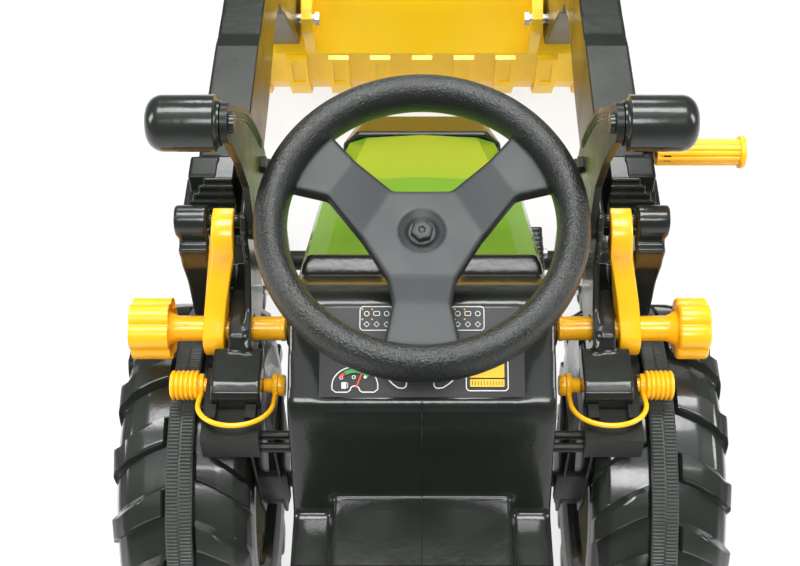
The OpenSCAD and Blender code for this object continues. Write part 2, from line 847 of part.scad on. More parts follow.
// the loose strap that keeps the locking pin with its end cap
module pin_strap() {
  mid = (strap_x0 + strap_x1) / 2;
  hw = (strap_x1 - strap_x0) / 2;
  tilt = -18;
  translate([0, lock_y, lock_z]) rotate([tilt, 0, 0]) {
    translate([mid, -strap_drop, 0]) rotate([0, 0, 180]) rotate_extrude(angle = 180, $fn = 48)
      translate([hw, 0]) circle(strap_r, $fn = 16);
    for (x = [strap_x0, strap_x1])
      translate([x, -strap_drop, 0]) rotate([-90, 0, 0])
        cylinder(h = strap_drop - 8, r = strap_r, $fn = 16);
  }
  // ring under the pin's head and the cap on its inner end
  difference() {
    bar_x(strap_x1 - 2, strap_x1 + 2, lock_y, lock_z, pin_r + 4);
    bar_x(strap_x1 - 3, strap_x1 + 3, lock_y, lock_z, pin_r + gap);
  }
  difference() {
    union() {
      bar_x(strap_x0 - 8, strap_x0 + 2.5, lock_y, lock_z, pin_r + 3);
      bar_x(strap_x0 - 2.5, strap_x0 + 2.5, lock_y, lock_z, pin_r + 4.5);
    }
    bar_x(strap_x0 - 3, strap_x0 + 3, lock_y, lock_z, pin_r + gap);
  }
}

module pin_straps() {
  color(yellow) both() pin_strap();
}

// ---------------------------------------------------------------- loader arms

arm_top = 488;
arm_y0 = 112;
leg_r = 31;
leg_dir = [-0.5546, 0.832];
// side view of an arm: straight beam, gooseneck and a round tip
module arm_side() {
  up = 215;
  e = [hinge_y + leg_dir[0] * up, hinge_z + leg_dir[1] * up];
  polygon([[arm_y0, arm_top - 10], [arm_y0 + 8, arm_top], [270, arm_top], [290, arm_top - 4],
           [430, arm_top - 8], [466, arm_top - 18], [496, arm_top - 46],
           [e[0] + 40, e[1] - 10], [e[0] - 20, e[1] - 60], [440, 398], [400, 410],
           [300, arm_top - arm_h], [arm_y0 + 4, arm_top - arm_h], [arm_y0, arm_top - arm_h + 6]]);
  disc2(hinge_y, hinge_z, leg_r);
  polygon([[hinge_y - leg_r * leg_dir[1], hinge_z + leg_r * leg_dir[0]],
           [hinge_y + leg_r * leg_dir[1], hinge_z - leg_r * leg_dir[0]],
           [e[0] + leg_r * leg_dir[1], e[1] - leg_r * leg_dir[0]],
           [e[0] - leg_r * leg_dir[1] - 20, e[1] + leg_r * leg_dir[0]]]);
}

module loader_arm() {
  out = arm_in + arm_w;
  color(black) difference() {
    union() {
      slab(arm_in, out) arm_side();
      // pad on the inner face that carries the handle plate
      slab(plate_in - 0.5, arm_in) polygon([[122, 440], [160, 440], [160, 484], [122, 484]]);
      // ribbed shoulder at the rear end, three nested steps
      for (i = [0 : 2])
        slab(arm_in + 22 + i * 3, out + 6 - i * 2)
          polygon([[102 + i * 7, 434 - i * 4], [arm_y0 + 14, 434 - i * 4], [arm_y0 + 14, 490 - i],
                   [102 + i * 7, 490 - i]]);
    }
    bar_x(arm_in - 10, out + 20, hinge_y, hinge_z, pin_r + fit);
    bar_x(out - 20, out + 20, tip_y, tip_z, 5 + fit);
    bar_x(plate_in - 10, arm_in + 20, cross_tube_y, cross_tube_z, 11 + fit);
    for (p = plate_bolts) bar_x(plate_in - 10, arm_in + 10, p[0], p[1], 4 + fit);
  }
}

cross_tube_y = 462;
cross_tube_z = 436;
module arm_cross_tube() {
  color(steel_black)
    bar_x(-arm_in - 19, arm_in + 19, cross_tube_y, cross_tube_z, 11);
}

plate_bolts = [[132, 474], [148, 455]];
// handle plate: a curved quadrant from the roller down to the arm
module handle_plate() {
  color(steel_black) difference() {
    union() {
      bar_x(plate_in - 6, plate_in - 0.5, roll_y, roll_z, 15);
      bar_x(plate_in - 6, plate_in - 0.5, pivot_y, pivot_z, 16);
      slab(plate_in - 6, plate_in - 0.5)
        polygon([[roll_y - 10, roll_z - 8], [roll_y + 12, roll_z + 6], [64, 606], [104, 566],
                 [136, 516], [154, 482], [160, 458], [158, 446], [140, 440], [96, 444],
                 [pivot_y, pivot_z - 12], [pivot_y - 12, pivot_z + 4], [62, 520], [44, 566]]);
    }
    bar_x(plate_in - 20, plate_in + 20, pivot_y, pivot_z, pin_r + fit);
    bar_x(plate_in - 20, plate_in + 20, roll_y, roll_z, 5 + fit);
    for (p = plate_bolts) bar_x(plate_in - 20, plate_in + 20, p[0], p[1], 4 + fit);
  }
}

module arm_bolts() {
  color(zinc) both() for (p = plate_bolts) {
    bar_x(plate_in - 6, arm_in + 9, p[0], p[1], 4);
    about_x(plate_in - 10.5, p[0], p[1]) cylinder(h = 4.5, r = 7, $fn = 6);
  }
}

// moulded handle roller with a rounded outer end, carried on its own pin
module handle_roller() {
  x0 = arm_in;
  x1 = arm_in + 47.5;
  color(black) {
    bar_x(x0, x1 - 9, roll_y, roll_z, roller_r);
    about_x(x1 - 9, roll_y, roll_z) rotate_extrude() {
      square([roller_r - 9, 9]);
      intersection() {
        translate([roller_r - 9, 0]) circle(9);
        translate([roller_r - 10, 0]) square([10, 9]);
      }
    }
    bar_x(plate_in - 8, x0, roll_y, roll_z, 5);
    about_x(plate_in - 9.5, roll_y, roll_z) cylinder(h = 3.2, r = 8, $fn = 6);
  }
}

// ---------------------------------------------------------------- bucket

ear_w = 13;
ear_in = arm_in - 4 - ear_w;
// bucket outline in side view, drawn outer face first and inner face back
module bucket_shell_side() {
  polygon(concat(bucket_back,
                 [[lip_y, floor_z - 4], [lip_y, floor_z], [662, floor_z + bucket_t], [643, 102.5],
                  [623.2, 129], [615.2, 182], [638, 261], [676, 324]]));
}

module bucket_cheek_side() {
  polygon(concat(bucket_back,
                 [[lip_y, floor_z - 4], [lip_y, floor_z + 8], [840, 130], [760, 210],
                  [716, 290], [690, 328]]));
}

heel_pitch = bucket_w * 0.1128;
// a trapezoid rib on the heel with a recessed window in its top
module heel_rib(x) {
  translate([x, 0, 0]) difference() {
    slab(-13, 13)
      polygon([[606, 176], [613, 125], [634, 93], [656, floor_z - 3], [662, floor_z + 1],
               [641, 101], [620, 130], [613, 180]]);
    slab(-7, 7) polygon([[600, 168], [600, 132], [614, 132], [609, 168]]);
  }
}

module bucket() {
  hw = bucket_w / 2;
  color(yellow) difference() {
    union() {
      slab(-hw, hw) bucket_shell_side();
      both() slab(hw - bucket_t, hw) bucket_cheek_side();
      for (i = [-(heel_ribs - 1) / 2 : (heel_ribs - 1) / 2]) heel_rib(i * heel_pitch);
      // hinge ears inboard of the arms, and the ear of the tip rod
      both() slab(ear_in, ear_in + ear_w)
        polygon([[hinge_y - 14, hinge_z - 10], [hinge_y - 14, hinge_z + 10], [hinge_y - 4, hinge_z + 17],
                 [650, 286], [634, 262], [611, 182], [hinge_y - 8, hinge_z - 18]]);
      slab(tip_ear_in, tip_ear_in + 6)
        polygon([[rod_y1 - 9, rod_z1 - 8], [rod_y1 - 9, rod_z1 + 8], [rod_y1, rod_z1 + 12], [616, 200],
                 [613, 168], [rod_y1, rod_z1 - 11]]);
      // rolled top edge
      bar_x(-hw, hw, 674, 326, 4.5);
    }
    both() bar_x(ear_in - 1, ear_in + ear_w + 1, hinge_y, hinge_z, pin_r + fit);
    bar_x(tip_ear_in - 1, tip_ear_in + 7, rod_y1, rod_z1, 4 + fit);
  }
}

module bucket_pins() {
  color(zinc) both() {
    bar_x(ear_in - 4, arm_in + arm_w + 2, hinge_y, hinge_z, pin_r);
    about_x(ear_in - 8, hinge_y, hinge_z) cylinder(h = 4.5, r = 9, $fn = 6);
  }
}

// the tip linkage: lever, rod and bucket ear make a parallelogram
tip_vec = [0, -36];
rod_y0 = tip_y + tip_vec[0];
rod_z0 = tip_z + tip_vec[1];
rod_y1 = hinge_y + tip_vec[0];
rod_z1 = hinge_z + tip_vec[1];
tip_in = arm_in + arm_w + 7;
rod_in = tip_in + 7;
tip_ear_in = rod_in + 7;
module tip_lever() {
  color(steel_black) difference() {
    slab(tip_in, tip_in + 6)
      union() {
        disc2(tip_y, tip_z, 13);
        disc2(rod_y0, rod_z0, 9);
        disc2(grip_y, grip_z, 10);
        polygon([[tip_y - 12, tip_z - 2], [rod_y0 - 9, rod_z0], [rod_y0 + 9, rod_z0],
                 [tip_y + 12, tip_z]]);
        polygon([[tip_y - 10, tip_z - 8], [grip_y - 8, grip_z - 6], [grip_y + 6, grip_z + 8],
                 [tip_y + 4, tip_z + 12]]);
      }
    bar_x(tip_in - 1, tip_in + 7, tip_y, tip_z, 5);
    bar_x(tip_in - 1, tip_in + 7, rod_y0, rod_z0, 4);
    bar_x(tip_in - 1, tip_in + 7, grip_y, grip_z, 5);
  }
  color(zinc) {
    bar_x(tip_in - 24, tip_in + 8, tip_y, tip_z, 5);
    bar_x(tip_in, rod_in + 6, rod_y0, rod_z0, 4);
    bar_x(tip_in - grip_collar, tip_in + 60, grip_y, grip_z, 5);
  }
}

flutes = 12;
grip_collar = 5;
// fluted hand grip with an end flange
module tip_grip() {
  x0 = tip_in + 6;
  x1 = half_w - 1;
  color(yellow) difference() {
    union() {
      bar_x(tip_in - grip_collar, tip_in, grip_y, grip_z, 11);
      bar_x(x0, x1 - 5, grip_y, grip_z, 11);
      bar_x(x1 - 5, x1, grip_y, grip_z, 13.5);
    }
    bar_x(tip_in - grip_collar - 1, tip_in + 60.1, grip_y, grip_z, 5 + fit);
    about_x(x0 + 8, grip_y, grip_z)
      for (i = [0 : flutes - 1])
        rotate([0, 0, i * 360 / flutes]) translate([12, 0, 0]) cylinder(h = x1 - x0 - 17, r = 1.8);
  }
}

module tip_rod() {
  color(zinc) difference() {
    slab(rod_in, rod_in + 6)
      union() {
        disc2(rod_y0, rod_z0, 8);
        disc2(rod_y1, rod_z1, 8);
        polygon([[rod_y0 + 2, rod_z0 - 6], [rod_y1 - 2, rod_z1 - 5], [rod_y1 + 2, rod_z1 + 5],
                 [rod_y0 + 2, rod_z0 + 6]]);
      }
    bar_x(rod_in - 1, rod_in + 7, rod_y0, rod_z0, 4 + fit);
  }
  color(zinc) bar_x(rod_in, tip_ear_in + 8, rod_y1, rod_z1, 4);
}

placed() {
  chassis_frame();
  cockpit_body();
  dash_panel();
  nose_cowl();
  radiator_grille();
  headlights();
  front_axle_beam();
  left() foot_bracket();  // foot_bracket_left
  foot_bracket();  // foot_bracket_right
  mount_cross_bars();
  left() tower();  // tower_left
  tower();  // tower_right
  pivot_nuts();
  chain_guard();
  drive_chain();
  hitch_jaw();
  seat();
  hood();
  steering_wheel();
  hub_nut();
  steering_shaft();
  lower_shaft();
  left() knuckle();  // knuckle_left
  knuckle();  // knuckle_right
  tie_rod();
  left() front_wheel();  // front_wheel_left
  front_wheel();  // front_wheel_right
  left() front_rim();  // front_rim_left
  front_rim();  // front_rim_right
  rear_axle();
  left() rear_wheel();  // rear_wheel_left
  rear_wheel();  // rear_wheel_right
  rear_bands();
  rear_rims();
  drive_sprocket();
  crank();
  left() pedal(-1);  // pedal_left
  pedal(1);  // pedal_right
  left() loader_arm();  // loader_arm_left
  loader_arm();  // loader_arm_right
  arm_cross_tube();
  left() handle_plate();  // handle_plate_left
  handle_plate();  // handle_plate_right
  arm_bolts();
  left() handle_roller();  // handle_roller_left
  handle_roller();  // handle_roller_right
  bucket();
  bucket_pins();
  tip_lever();
  tip_grip();
  tip_rod();
  left() lock_lever();  // lock_lever_left
  lock_lever();  // lock_lever_right
  left() star_knob();  // star_knob_left
  star_knob();  // star_knob_right
  left() locking_pin();  // locking_pin_left
  locking_pin();  // locking_pin_right
  pin_straps();
}
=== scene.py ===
# %% [markdown]
# # A child's front loader, piece by piece
# The object is a ride-on pedal tractor with a hand-worked loader in front. Its working shapes come
# from a CAD model that is loaded as a fixed frame, and this lesson gives those shapes their looks:
# round moulded edges, tyre lugs, printed dials, and a finish for every surface. The frame could be
# used as it is, but sharp CAD edges never catch the light as moulded plastic does.

# %% Load the frame
import json
import math
import bpy
import bmesh
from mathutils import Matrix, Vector


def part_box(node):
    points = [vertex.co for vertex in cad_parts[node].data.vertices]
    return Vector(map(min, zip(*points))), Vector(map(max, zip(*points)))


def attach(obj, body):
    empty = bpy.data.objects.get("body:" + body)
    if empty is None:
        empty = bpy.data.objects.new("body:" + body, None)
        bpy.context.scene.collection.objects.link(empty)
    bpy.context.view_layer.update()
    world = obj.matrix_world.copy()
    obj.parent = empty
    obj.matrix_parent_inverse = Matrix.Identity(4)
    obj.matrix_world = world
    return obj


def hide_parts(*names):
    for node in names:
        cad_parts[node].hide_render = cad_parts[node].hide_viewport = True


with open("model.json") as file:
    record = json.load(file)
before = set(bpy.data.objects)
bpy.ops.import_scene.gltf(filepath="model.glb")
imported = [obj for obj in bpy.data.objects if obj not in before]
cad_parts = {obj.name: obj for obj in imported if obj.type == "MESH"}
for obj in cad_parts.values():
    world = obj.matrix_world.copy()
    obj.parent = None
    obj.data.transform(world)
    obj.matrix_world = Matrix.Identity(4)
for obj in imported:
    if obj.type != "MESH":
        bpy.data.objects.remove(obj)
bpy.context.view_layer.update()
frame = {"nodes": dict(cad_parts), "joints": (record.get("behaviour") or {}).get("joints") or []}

# %% [markdown]
# ## Where things are
# Every piece is placed from the frame, never by eye. A joint gives the middle line of a pin, and the
# corners of a CAD node give how far a piece reaches. Small helpers read both.

# %% Read places from the frame
MM = 0.001
JOINTS = {j["name"]: j for j in frame["joints"]}


def joint_at(name):
    return Vector(JOINTS[name]["pos_m"])


def middle(node):
    low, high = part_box(node)
    return (low + high) / 2


def reach(node):
    low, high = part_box(node)
    return high - low


def put(name, data):
    """A new object in the scene."""
    obj = bpy.data.objects.new(name, data)
    bpy.context.scene.collection.objects.link(obj)
    return obj


loader_pivot = joint_at("loader_lift")
bucket_hinge = joint_at("bucket_tip")
print("loader pivot", loader_pivot[:], "bucket hinge", bucket_hinge[:])

# %% [markdown]
# ## The camera
# The picture was taken from behind the driver's seat, looking down and forward over the steering
# wheel. A camera turned 39 degrees up from straight down has that view. Its place follows from the
# frame: it stands behind the rear wheels and well above them, with the lens of a short telephoto.

# %% Place the camera
CAMERA_BACK = 649.9 * MM
CAMERA_HIGH = 1277.6 * MM
CAMERA_TURN = 39.0
LENS_PIXELS = 1300.0
PHOTO_WIDTH = 800
AXIS_PIXEL = 422

rear_hub = joint_at("rear_axle_spin")
camera = put("camera", bpy.data.cameras.new("camera"))
camera.location = (0, rear_hub.y - CAMERA_BACK, CAMERA_HIGH)
camera.rotation_euler = (math.radians(CAMERA_TURN), 0, 0)
camera.data.sensor_width = 36
camera.data.lens = 36 * LENS_PIXELS / PHOTO_WIDTH
camera.data.shift_x = -(AXIS_PIXEL - PHOTO_WIDTH / 2) / PHOTO_WIDTH
bpy.context.scene.camera = camera
print("lens", round(camera.data.lens, 1), "mm")

# %% [markdown]
# ## Finishes
# Moulded plastic, powder coat, rubber and zinc differ in how rough they are, how that roughness
# wanders over the surface, and how deep their grain is. One helper builds all of them from noise,
# so each finish is a short line of numbers. Image textures would need files, and they would swim
# when a piece moves, so the noise is tied to each object's own coordinates.

# %% Make a finish from noise
def finish(name, colour, rough, wander=0.06, patch=30.0, tint=0.12, grain=0.0, grain_size=1.0, edge=0.0):
    """colour and rough as written, wander in roughness over patches, grain depth and size in mm."""
    mat = bpy.data.materials.new(name)
    mat.use_nodes = True
    nodes, links = mat.node_tree.nodes, mat.node_tree.links
    shader = nodes["Principled BSDF"]
    place = nodes.new("ShaderNodeTexCoord")
    broad = nodes.new("ShaderNodeTexNoise")
    broad.inputs["Scale"].default_value = patch
    broad.inputs["Detail"].default_value = 4
    links.new(place.outputs["Object"], broad.inputs["Vector"])
    ramp = nodes.new("ShaderNodeMapRange")
    ramp.inputs["From Min"].default_value = 0.3
    ramp.inputs["From Max"].default_value = 0.7
    ramp.inputs["To Min"].default_value = max(rough - wander, 0.02)
    ramp.inputs["To Max"].default_value = rough + wander
    links.new(broad.outputs["Fac"], ramp.inputs["Value"])
    links.new(ramp.outputs["Result"], shader.inputs["Roughness"])
    mix = nodes.new("ShaderNodeMix")
    mix.data_type = "RGBA"
    mix.inputs["A"].default_value = (*[c * (1 - tint) for c in colour], 1)
    mix.inputs["B"].default_value = (*[min(c * (1 + tint), 1) for c in colour], 1)
    links.new(broad.outputs["Fac"], mix.inputs["Factor"])
    links.new(mix.outputs["Result"], shader.inputs["Base Color"])
    normal = None
    if edge:
        rounding = nodes.new("ShaderNodeBevel")
        rounding.samples = 4
        rounding.inputs["Radius"].default_value = edge * MM
        normal = rounding.outputs["Normal"]
    if grain:
        fine = nodes.new("ShaderNodeTexNoise")
        fine.inputs["Scale"].default_value = 1 / (grain_size * MM)
        fine.inputs["Detail"].default_value = 2
        links.new(place.outputs["Object"], fine.inputs["Vector"])
        bump = nodes.new("ShaderNodeBump")
        bump.inputs["Distance"].default_value = grain * MM
        bump.inputs["Strength"].default_value = 1.0
        links.new(fine.outputs["Fac"], bump.inputs["Height"])
        if normal:
            links.new(normal, bump.inputs["Normal"])
        normal = bump.outputs["Normal"]
    if normal:
        links.new(normal, shader.inputs["Normal"])
    return mat


def varnish(mat, coat, coat_rough=0.08):
    shader = mat.node_tree.nodes["Principled BSDF"]
    shader.inputs["Coat Weight"].default_value = coat
    shader.inputs["Coat Roughness"].default_value = coat_rough
    return mat


def duller(mat, level):
    """Less mirror at grazing angles than clean plastic has."""
    mat.node_tree.nodes["Principled BSDF"].inputs["Specular IOR Level"].default_value = level
    return mat


def as_metal(mat):
    mat.node_tree.nodes["Principled BSDF"].inputs["Metallic"].default_value = 1.0
    return mat


# %% [markdown]
# ## The finishes of this toy
# Blow-moulded black is glossy and slightly wavy, the wheel's grip has a pebbled grain, brackets are
# powder-coated steel, and the yellow and green pieces are injection-moulded with a clean gloss.

# %% Define the finishes
BLACK = (0.015, 0.0175, 0.0142)
YELLOW = (1.0, 0.48, 0.008)
shell_black = finish("shell_black", BLACK, 0.19, 0.05, 14, 0.2, grain=0.22, grain_size=9)
duller(varnish(shell_black, 0.2), 0.4)
beam_black = duller(finish("beam_black", BLACK, 0.24, 0.05, 14, 0.2, grain=0.15, grain_size=9), 0.16)
tread_black = finish("tread_black", (0.021, 0.024, 0.020), 0.22, 0.06, 20, 0.2, grain=0.1, grain_size=5)
varnish(tread_black, 0.3)
pebble_black = finish("pebble_black", (0.017, 0.0195, 0.0165), 0.2, 0.05, 40, 0.2, grain=1.0, grain_size=1.7)
spoke_black = finish("spoke_black", (0.017, 0.0205, 0.0205), 0.46, 0.04, 30, 0.15, grain=0.05, grain_size=0.7)
coat_black = finish("coat_black", (0.013, 0.015, 0.012), 0.3, 0.04, 30, 0.15, grain=0.02, grain_size=1.2,
                    edge=0.8)
duller(coat_black, 0.25)
rubber_black = finish("rubber_black", (0.040, 0.047, 0.041), 0.45, 0.08, 60, 0.2, grain=0.05, grain_size=0.8)
yellow_gloss = varnish(finish("yellow_gloss", YELLOW, 0.25, 0.04, 25, 0.03, grain=0.05, grain_size=6), 0.2)
bucket_yellow = finish("bucket_yellow", (1.0, 0.61, 0.008), 0.32, 0.05, 10, 0.03, grain=0.3, grain_size=14)
varnish(bucket_yellow, 0.1)
hood_green = finish("hood_green", (0.165, 0.33, 0.014), 0.2, 0.04, 16, 0.05, grain=0.1, grain_size=12)
varnish(hood_green, 0.4)
bright_zinc = finish("bright_zinc", (0.68, 0.69, 0.7), 0.26, 0.08, 90, 0.1, grain=0.03, grain_size=0.8,
                     edge=0.5)
as_metal(bright_zinc)
lamp_clear = varnish(finish("lamp_clear", (0.75, 0.75, 0.72), 0.12, 0.03, 60, 0.05), 0.6)


def shade_inward_side(mat, back, split_x):
    """Paints the inward side of a left and right pair a darker colour than its outward side: painted shade.
    """
    nodes, links = mat.node_tree.nodes, mat.node_tree.links
    base = nodes["Principled BSDF"].inputs["Base Color"]
    front = base.links[0].from_socket
    place = nodes.new("ShaderNodeTexCoord")
    axes = nodes.new("ShaderNodeSeparateXYZ")
    far = nodes.new("ShaderNodeMath")
    far.operation = "ABSOLUTE"
    outward = nodes.new("ShaderNodeMath")
    outward.operation = "GREATER_THAN"
    outward.inputs[1].default_value = split_x
    blend = nodes.new("ShaderNodeMix")
    blend.data_type = "RGBA"
    blend.inputs["A"].default_value = (*back, 1)
    links.new(place.outputs["Object"], axes.inputs[0])
    links.new(axes.outputs["X"], far.inputs[0])
    links.new(far.outputs[0], outward.inputs[0])
    links.new(outward.outputs[0], blend.inputs["Factor"])
    links.new(front, blend.inputs["B"])
    links.new(blend.outputs["Result"], base)
    return mat


# The rear rims' inward faces get a dull dark beige: painted shade over the yellow, not a colour the rims
# have.
RIM_INNER_SHADE = (0.20, 0.18, 0.13)
rim_yellow_shaded_inside = shade_inward_side(finish("rim_yellow_shaded_inside", YELLOW, 0.27, 0.04, 25, 0.03, grain=0.05, grain_size=6),
                       RIM_INNER_SHADE, middle("rear_wheel_right").x)
print("finishes", len(bpy.data.materials))

# %% [markdown]
# ## Turning a list of rings into a piece
# Most moulded pieces are lofts: a row of closed rings joined by quads. A lathe, a tube and a lobed
# knob are all lofts with different rings, so one helper builds them, and others only make rings.

# %% Build pieces from rings and outlines
def piece(name, verts, faces, mat, body, slot, stands_for=(), sharp=38):
    mesh = bpy.data.meshes.new(name)
    mesh.from_pydata([tuple(v) for v in verts], [], faces)
    mesh.update()
    work = bmesh.new()
    work.from_mesh(mesh)
    bmesh.ops.recalc_face_normals(work, faces=work.faces)
    work.to_mesh(mesh)
    work.free()
    return dress(name, mesh, mat, body, stands_for, sharp)


def dress(name, mesh, mat, body, stands_for=(), sharp=38):
    mesh.materials.clear()
    mesh.materials.append(mat)
    mesh.shade_smooth()
    mesh.set_sharp_from_angle(angle=math.radians(sharp))
    obj = put(name, mesh)
    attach(obj, body)
    if stands_for:
        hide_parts(*stands_for)
    return obj


def circle(count):
    """The angles of count even steps round a full turn."""
    return [2 * math.pi * k / count for k in range(count)]


def loft(rings, closed_row=False, caps=True):
    n = len(rings[0])
    verts = [v for ring in rings for v in ring]
    rows = len(rings)
    faces = []
    for i in range(rows if closed_row else rows - 1):
        a, b = i * n, ((i + 1) % rows) * n
        faces += [(a + k, a + (k + 1) % n, b + (k + 1) % n, b + k) for k in range(n)]
    if caps and not closed_row:
        faces += [tuple(range(n)), tuple(range((rows - 1) * n, rows * n))]
    return verts, faces


def joined(*parts):
    verts, faces = [], []
    for v, f in parts:
        start = len(verts)
        verts += v
        faces += [tuple(i + start for i in face) for face in f]
    return verts, faces


def turned(profile, y, z, sides=64):
    """A lathe along X: profile is a list of (x, radius)."""
    rings = []
    for x, r in profile:
        rings.append([Vector((x, y + r * math.cos(a), z + r * math.sin(a)))
                      for a in circle(sides)])
    return loft(rings)


def round_over(x0, x1, r, edge, steps=5):
    """The (x, radius) profile of a bar with both rims rounded."""
    arc = [math.pi / 2 * k / steps for k in range(steps + 1)]
    first = [(x0 + edge * (1 - math.sin(a)), r - edge * (1 - math.cos(a))) for a in reversed(arc)]
    last = [(x1 - edge * (1 - math.sin(a)), r - edge * (1 - math.cos(a))) for a in arc]
    return first + last


def tube(path, radius, sides=16, flat=1.0):
    rings = []
    for i, p in enumerate(path):
        ahead = path[min(i + 1, len(path) - 1)] - path[max(i - 1, 0)]
        side = ahead.cross(Vector((0, 0.3, 1))).normalized()
        up = side.cross(ahead).normalized()
        rings.append([p + side * radius * flat * math.cos(a) + up * radius * math.sin(a)
                      for a in circle(sides)])
    return loft(rings)


def sheet_cut(outline, x0, x1, lean=lambda y, z: 0.0):
    """A side view outline of (y, z) points as a plate from x0 to x1, which may lean in X."""
    rings = [[Vector((x + lean(y, z), y, z)) for y, z in outline] for x in (x0, x1)]
    return loft(rings)


def arc(y, z, r, start, end, steps=12):
    return [(y + r * math.cos(math.radians(start + (end - start) * k / steps)),
             z + r * math.sin(math.radians(start + (end - start) * k / steps)))
            for k in range(steps + 1)]


def settle(obj):
    """Keeps what the modifiers made as the piece's own mesh."""
    graph = bpy.context.evaluated_depsgraph_get()
    graph.update()
    mesh = bpy.data.meshes.new_from_object(obj.evaluated_get(graph))
    obj.modifiers.clear()
    obj.data = mesh
    return obj


def soften_edges(obj, width, steps=3, angle=35):
    mod = obj.modifiers.new("edge", "BEVEL")
    mod.width = width * MM
    mod.segments = steps
    mod.limit_method = "ANGLE"
    mod.angle_limit = math.radians(angle)
    settle(obj)
    obj.data.shade_smooth()
    obj.data.set_sharp_from_angle(angle=math.radians(38))
    return obj


# %% [markdown]
# ## Moulded shells
# A blow-moulded shell has no sharp edge anywhere, because the plastic stretches into the corners of
# its mould. A bevel needs clean edges and fails at small holes, so the CAD shape is rebuilt from
# fine cubes instead and then smoothed: flat walls stay flat, and every edge turns round.

# %% Mould a CAD node
def melt(obj, cube, passes):
    """The mesh of obj rebuilt from cubes of a size in mm and smoothed; obj is used up."""
    grid = obj.modifiers.new("cubes", "REMESH")
    grid.mode = "VOXEL"
    grid.voxel_size = cube * MM
    ease = obj.modifiers.new("ease", "SMOOTH")
    ease.factor = 0.5
    ease.iterations = passes
    settle(obj)
    mesh = obj.data
    bpy.data.objects.remove(obj)
    return mesh


def moulded(node, mat, body, cube=2.0, passes=8):
    obj = put(node + "_moulded", frame["nodes"][node].data.copy())
    mesh = melt(obj, cube, passes)
    made = dress(node + "_moulded", mesh, mat, body, (node,), 60)
    print(made.name, len(mesh.polygons), "faces")
    return made


# %% [markdown]
# ## The cockpit shell
# The driver's dash, the deck and the seat platform are one black shell with generous round edges.

# %% Mould the cockpit
cube_coarse = 2.5
cockpit_passes = 16
cockpit = moulded("cockpit_body", shell_black, "tractor", cube_coarse, cockpit_passes)
moulded("seat", shell_black, "seat", cube_coarse, 8)
moulded("nose_cowl", shell_black, "tractor", cube_coarse, 6)

# %% [markdown]
# ## The seam of the cockpit
# The halves of the mould meet on the middle line and leave a thin raised seam. Its path has to lie
# on the rounded shell, so rays are sent down onto the finished shell and the seam joins the points
# where they land. It breaks off wherever the shell steps.

# %% Find and raise the seam
SEAM_FROM = Vector((0, -0.60, 1.0))
SEAM_STEP_MAX = 7 * MM
seam_runs, run = [], []
for k in range(400):
    turn = math.radians(-100 + 0.15 * k)
    hit, spot, _, _ = cockpit.ray_cast(SEAM_FROM, Vector((0, math.cos(turn), math.sin(turn))))
    if hit and (not run or (spot - run[-1]).length < SEAM_STEP_MAX):
        if not run or (spot - run[-1]).length > 1.5 * MM:
            run.append(spot.copy())
    else:
        seam_runs.append(run)
        run = [spot.copy()] if hit else []
seam_runs = [r for r in seam_runs + [run] if len(r) > 5]
print("seam runs", [len(r) for r in seam_runs])
seam = joined(*[tube(r, 0.45 * MM, 8) for r in seam_runs])
piece("cockpit_seam", *seam, shell_black, "tractor", "gloss_black")

# %% [markdown]
# ## The printed dash
# A dark film with thin white outlines is stuck on the dash: a fuel gauge, the lower halves of two
# round dials, a yellow display and two blocks of pilot symbols. Each line is a thin ribbon laid a
# hair above the film. A texture would be quicker but blurs close up; ribbons stay sharp.

# %% Print the dash
dash_low, dash_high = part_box("dash_panel")
slope = Vector((0, dash_high.y - dash_low.y, dash_high.z - dash_low.z - 1.0 * MM)).normalized()
dash_normal = Vector((1, 0, 0)).cross(slope).normalized()
dash_start = Vector((0, dash_low.y, dash_low.z + 2.2 * MM))
PRINT_UP = 0.25 * MM
print_white = finish("print_white", (0.75, 0.75, 0.73), 0.45, 0.03, 60, 0.04)
print_yellow = finish("print_yellow", (0.9, 0.5, 0.02), 0.4, 0.03, 60, 0.06)
print_green = finish("print_green", (0.04, 0.3, 0.06), 0.45, 0.03, 60, 0.06)
print_red = finish("print_red", (0.7, 0.05, 0.02), 0.45, 0.03, 60, 0.06)
film_black = finish("film_black", (0.014, 0.015, 0.014), 0.42, 0.04, 50, 0.15, grain=0.04,
                    grain_size=0.8)


def on_film(x, s, up=PRINT_UP):
    return dash_start + Vector((x, 0, 0)) * MM + slope * (s * MM) + dash_normal * up


def ribbon(points, wide, loop=False, up=PRINT_UP):
    """A flat line of one width along (x, s) points on the film."""
    n = len(points)
    left_side, right_side = [], []
    for i, (x, y) in enumerate(points):
        ax, ay = points[(i - 1) % n] if loop or i else points[i]
        bx, by = points[(i + 1) % n] if loop or i < n - 1 else points[i]
        dx, dy = bx - ax, by - ay
        far = math.hypot(dx, dy) or 1
        nx, ny = -dy / far * wide / 2, dx / far * wide / 2
        left_side.append(on_film(x + nx, y + ny, up))
        right_side.append(on_film(x - nx, y - ny, up))
    verts = left_side + right_side
    last = n if loop else n - 1
    faces = [(i, (i + 1) % n, n + (i + 1) % n, n + i) for i in range(last)]
    return verts, faces


def patch(points, up=PRINT_UP):
    return [on_film(x, s, up) for x, s in points], [tuple(range(len(points)))]


def ring(x, s, r, start=0, end=360, steps=24):
    return [(x + r * math.cos(math.radians(start + (end - start) * k / steps)),
             s + r * math.sin(math.radians(start + (end - start) * k / steps))) for k in range(steps + 1)]


def rounded_box(x0, x1, s0, s1, r, steps=5):
    corners = ((x1 - r, s1 - r, 0), (x0 + r, s1 - r, 90), (x0 + r, s0 + r, 180), (x1 - r, s0 + r, 270))
    return [p for x, s, a in corners for p in ring(x, s, r, a, a + 90, steps)]


GAUGE = (-54.5, 9.0)
GAUGE_WIDEN = 1.2
DISPLAY = (39.0, 67.0, 8.0, 40.0)
gx, gs = GAUGE


def widened(points):
    return [(gx + (x - gx) * GAUGE_WIDEN, s) for x, s in points]


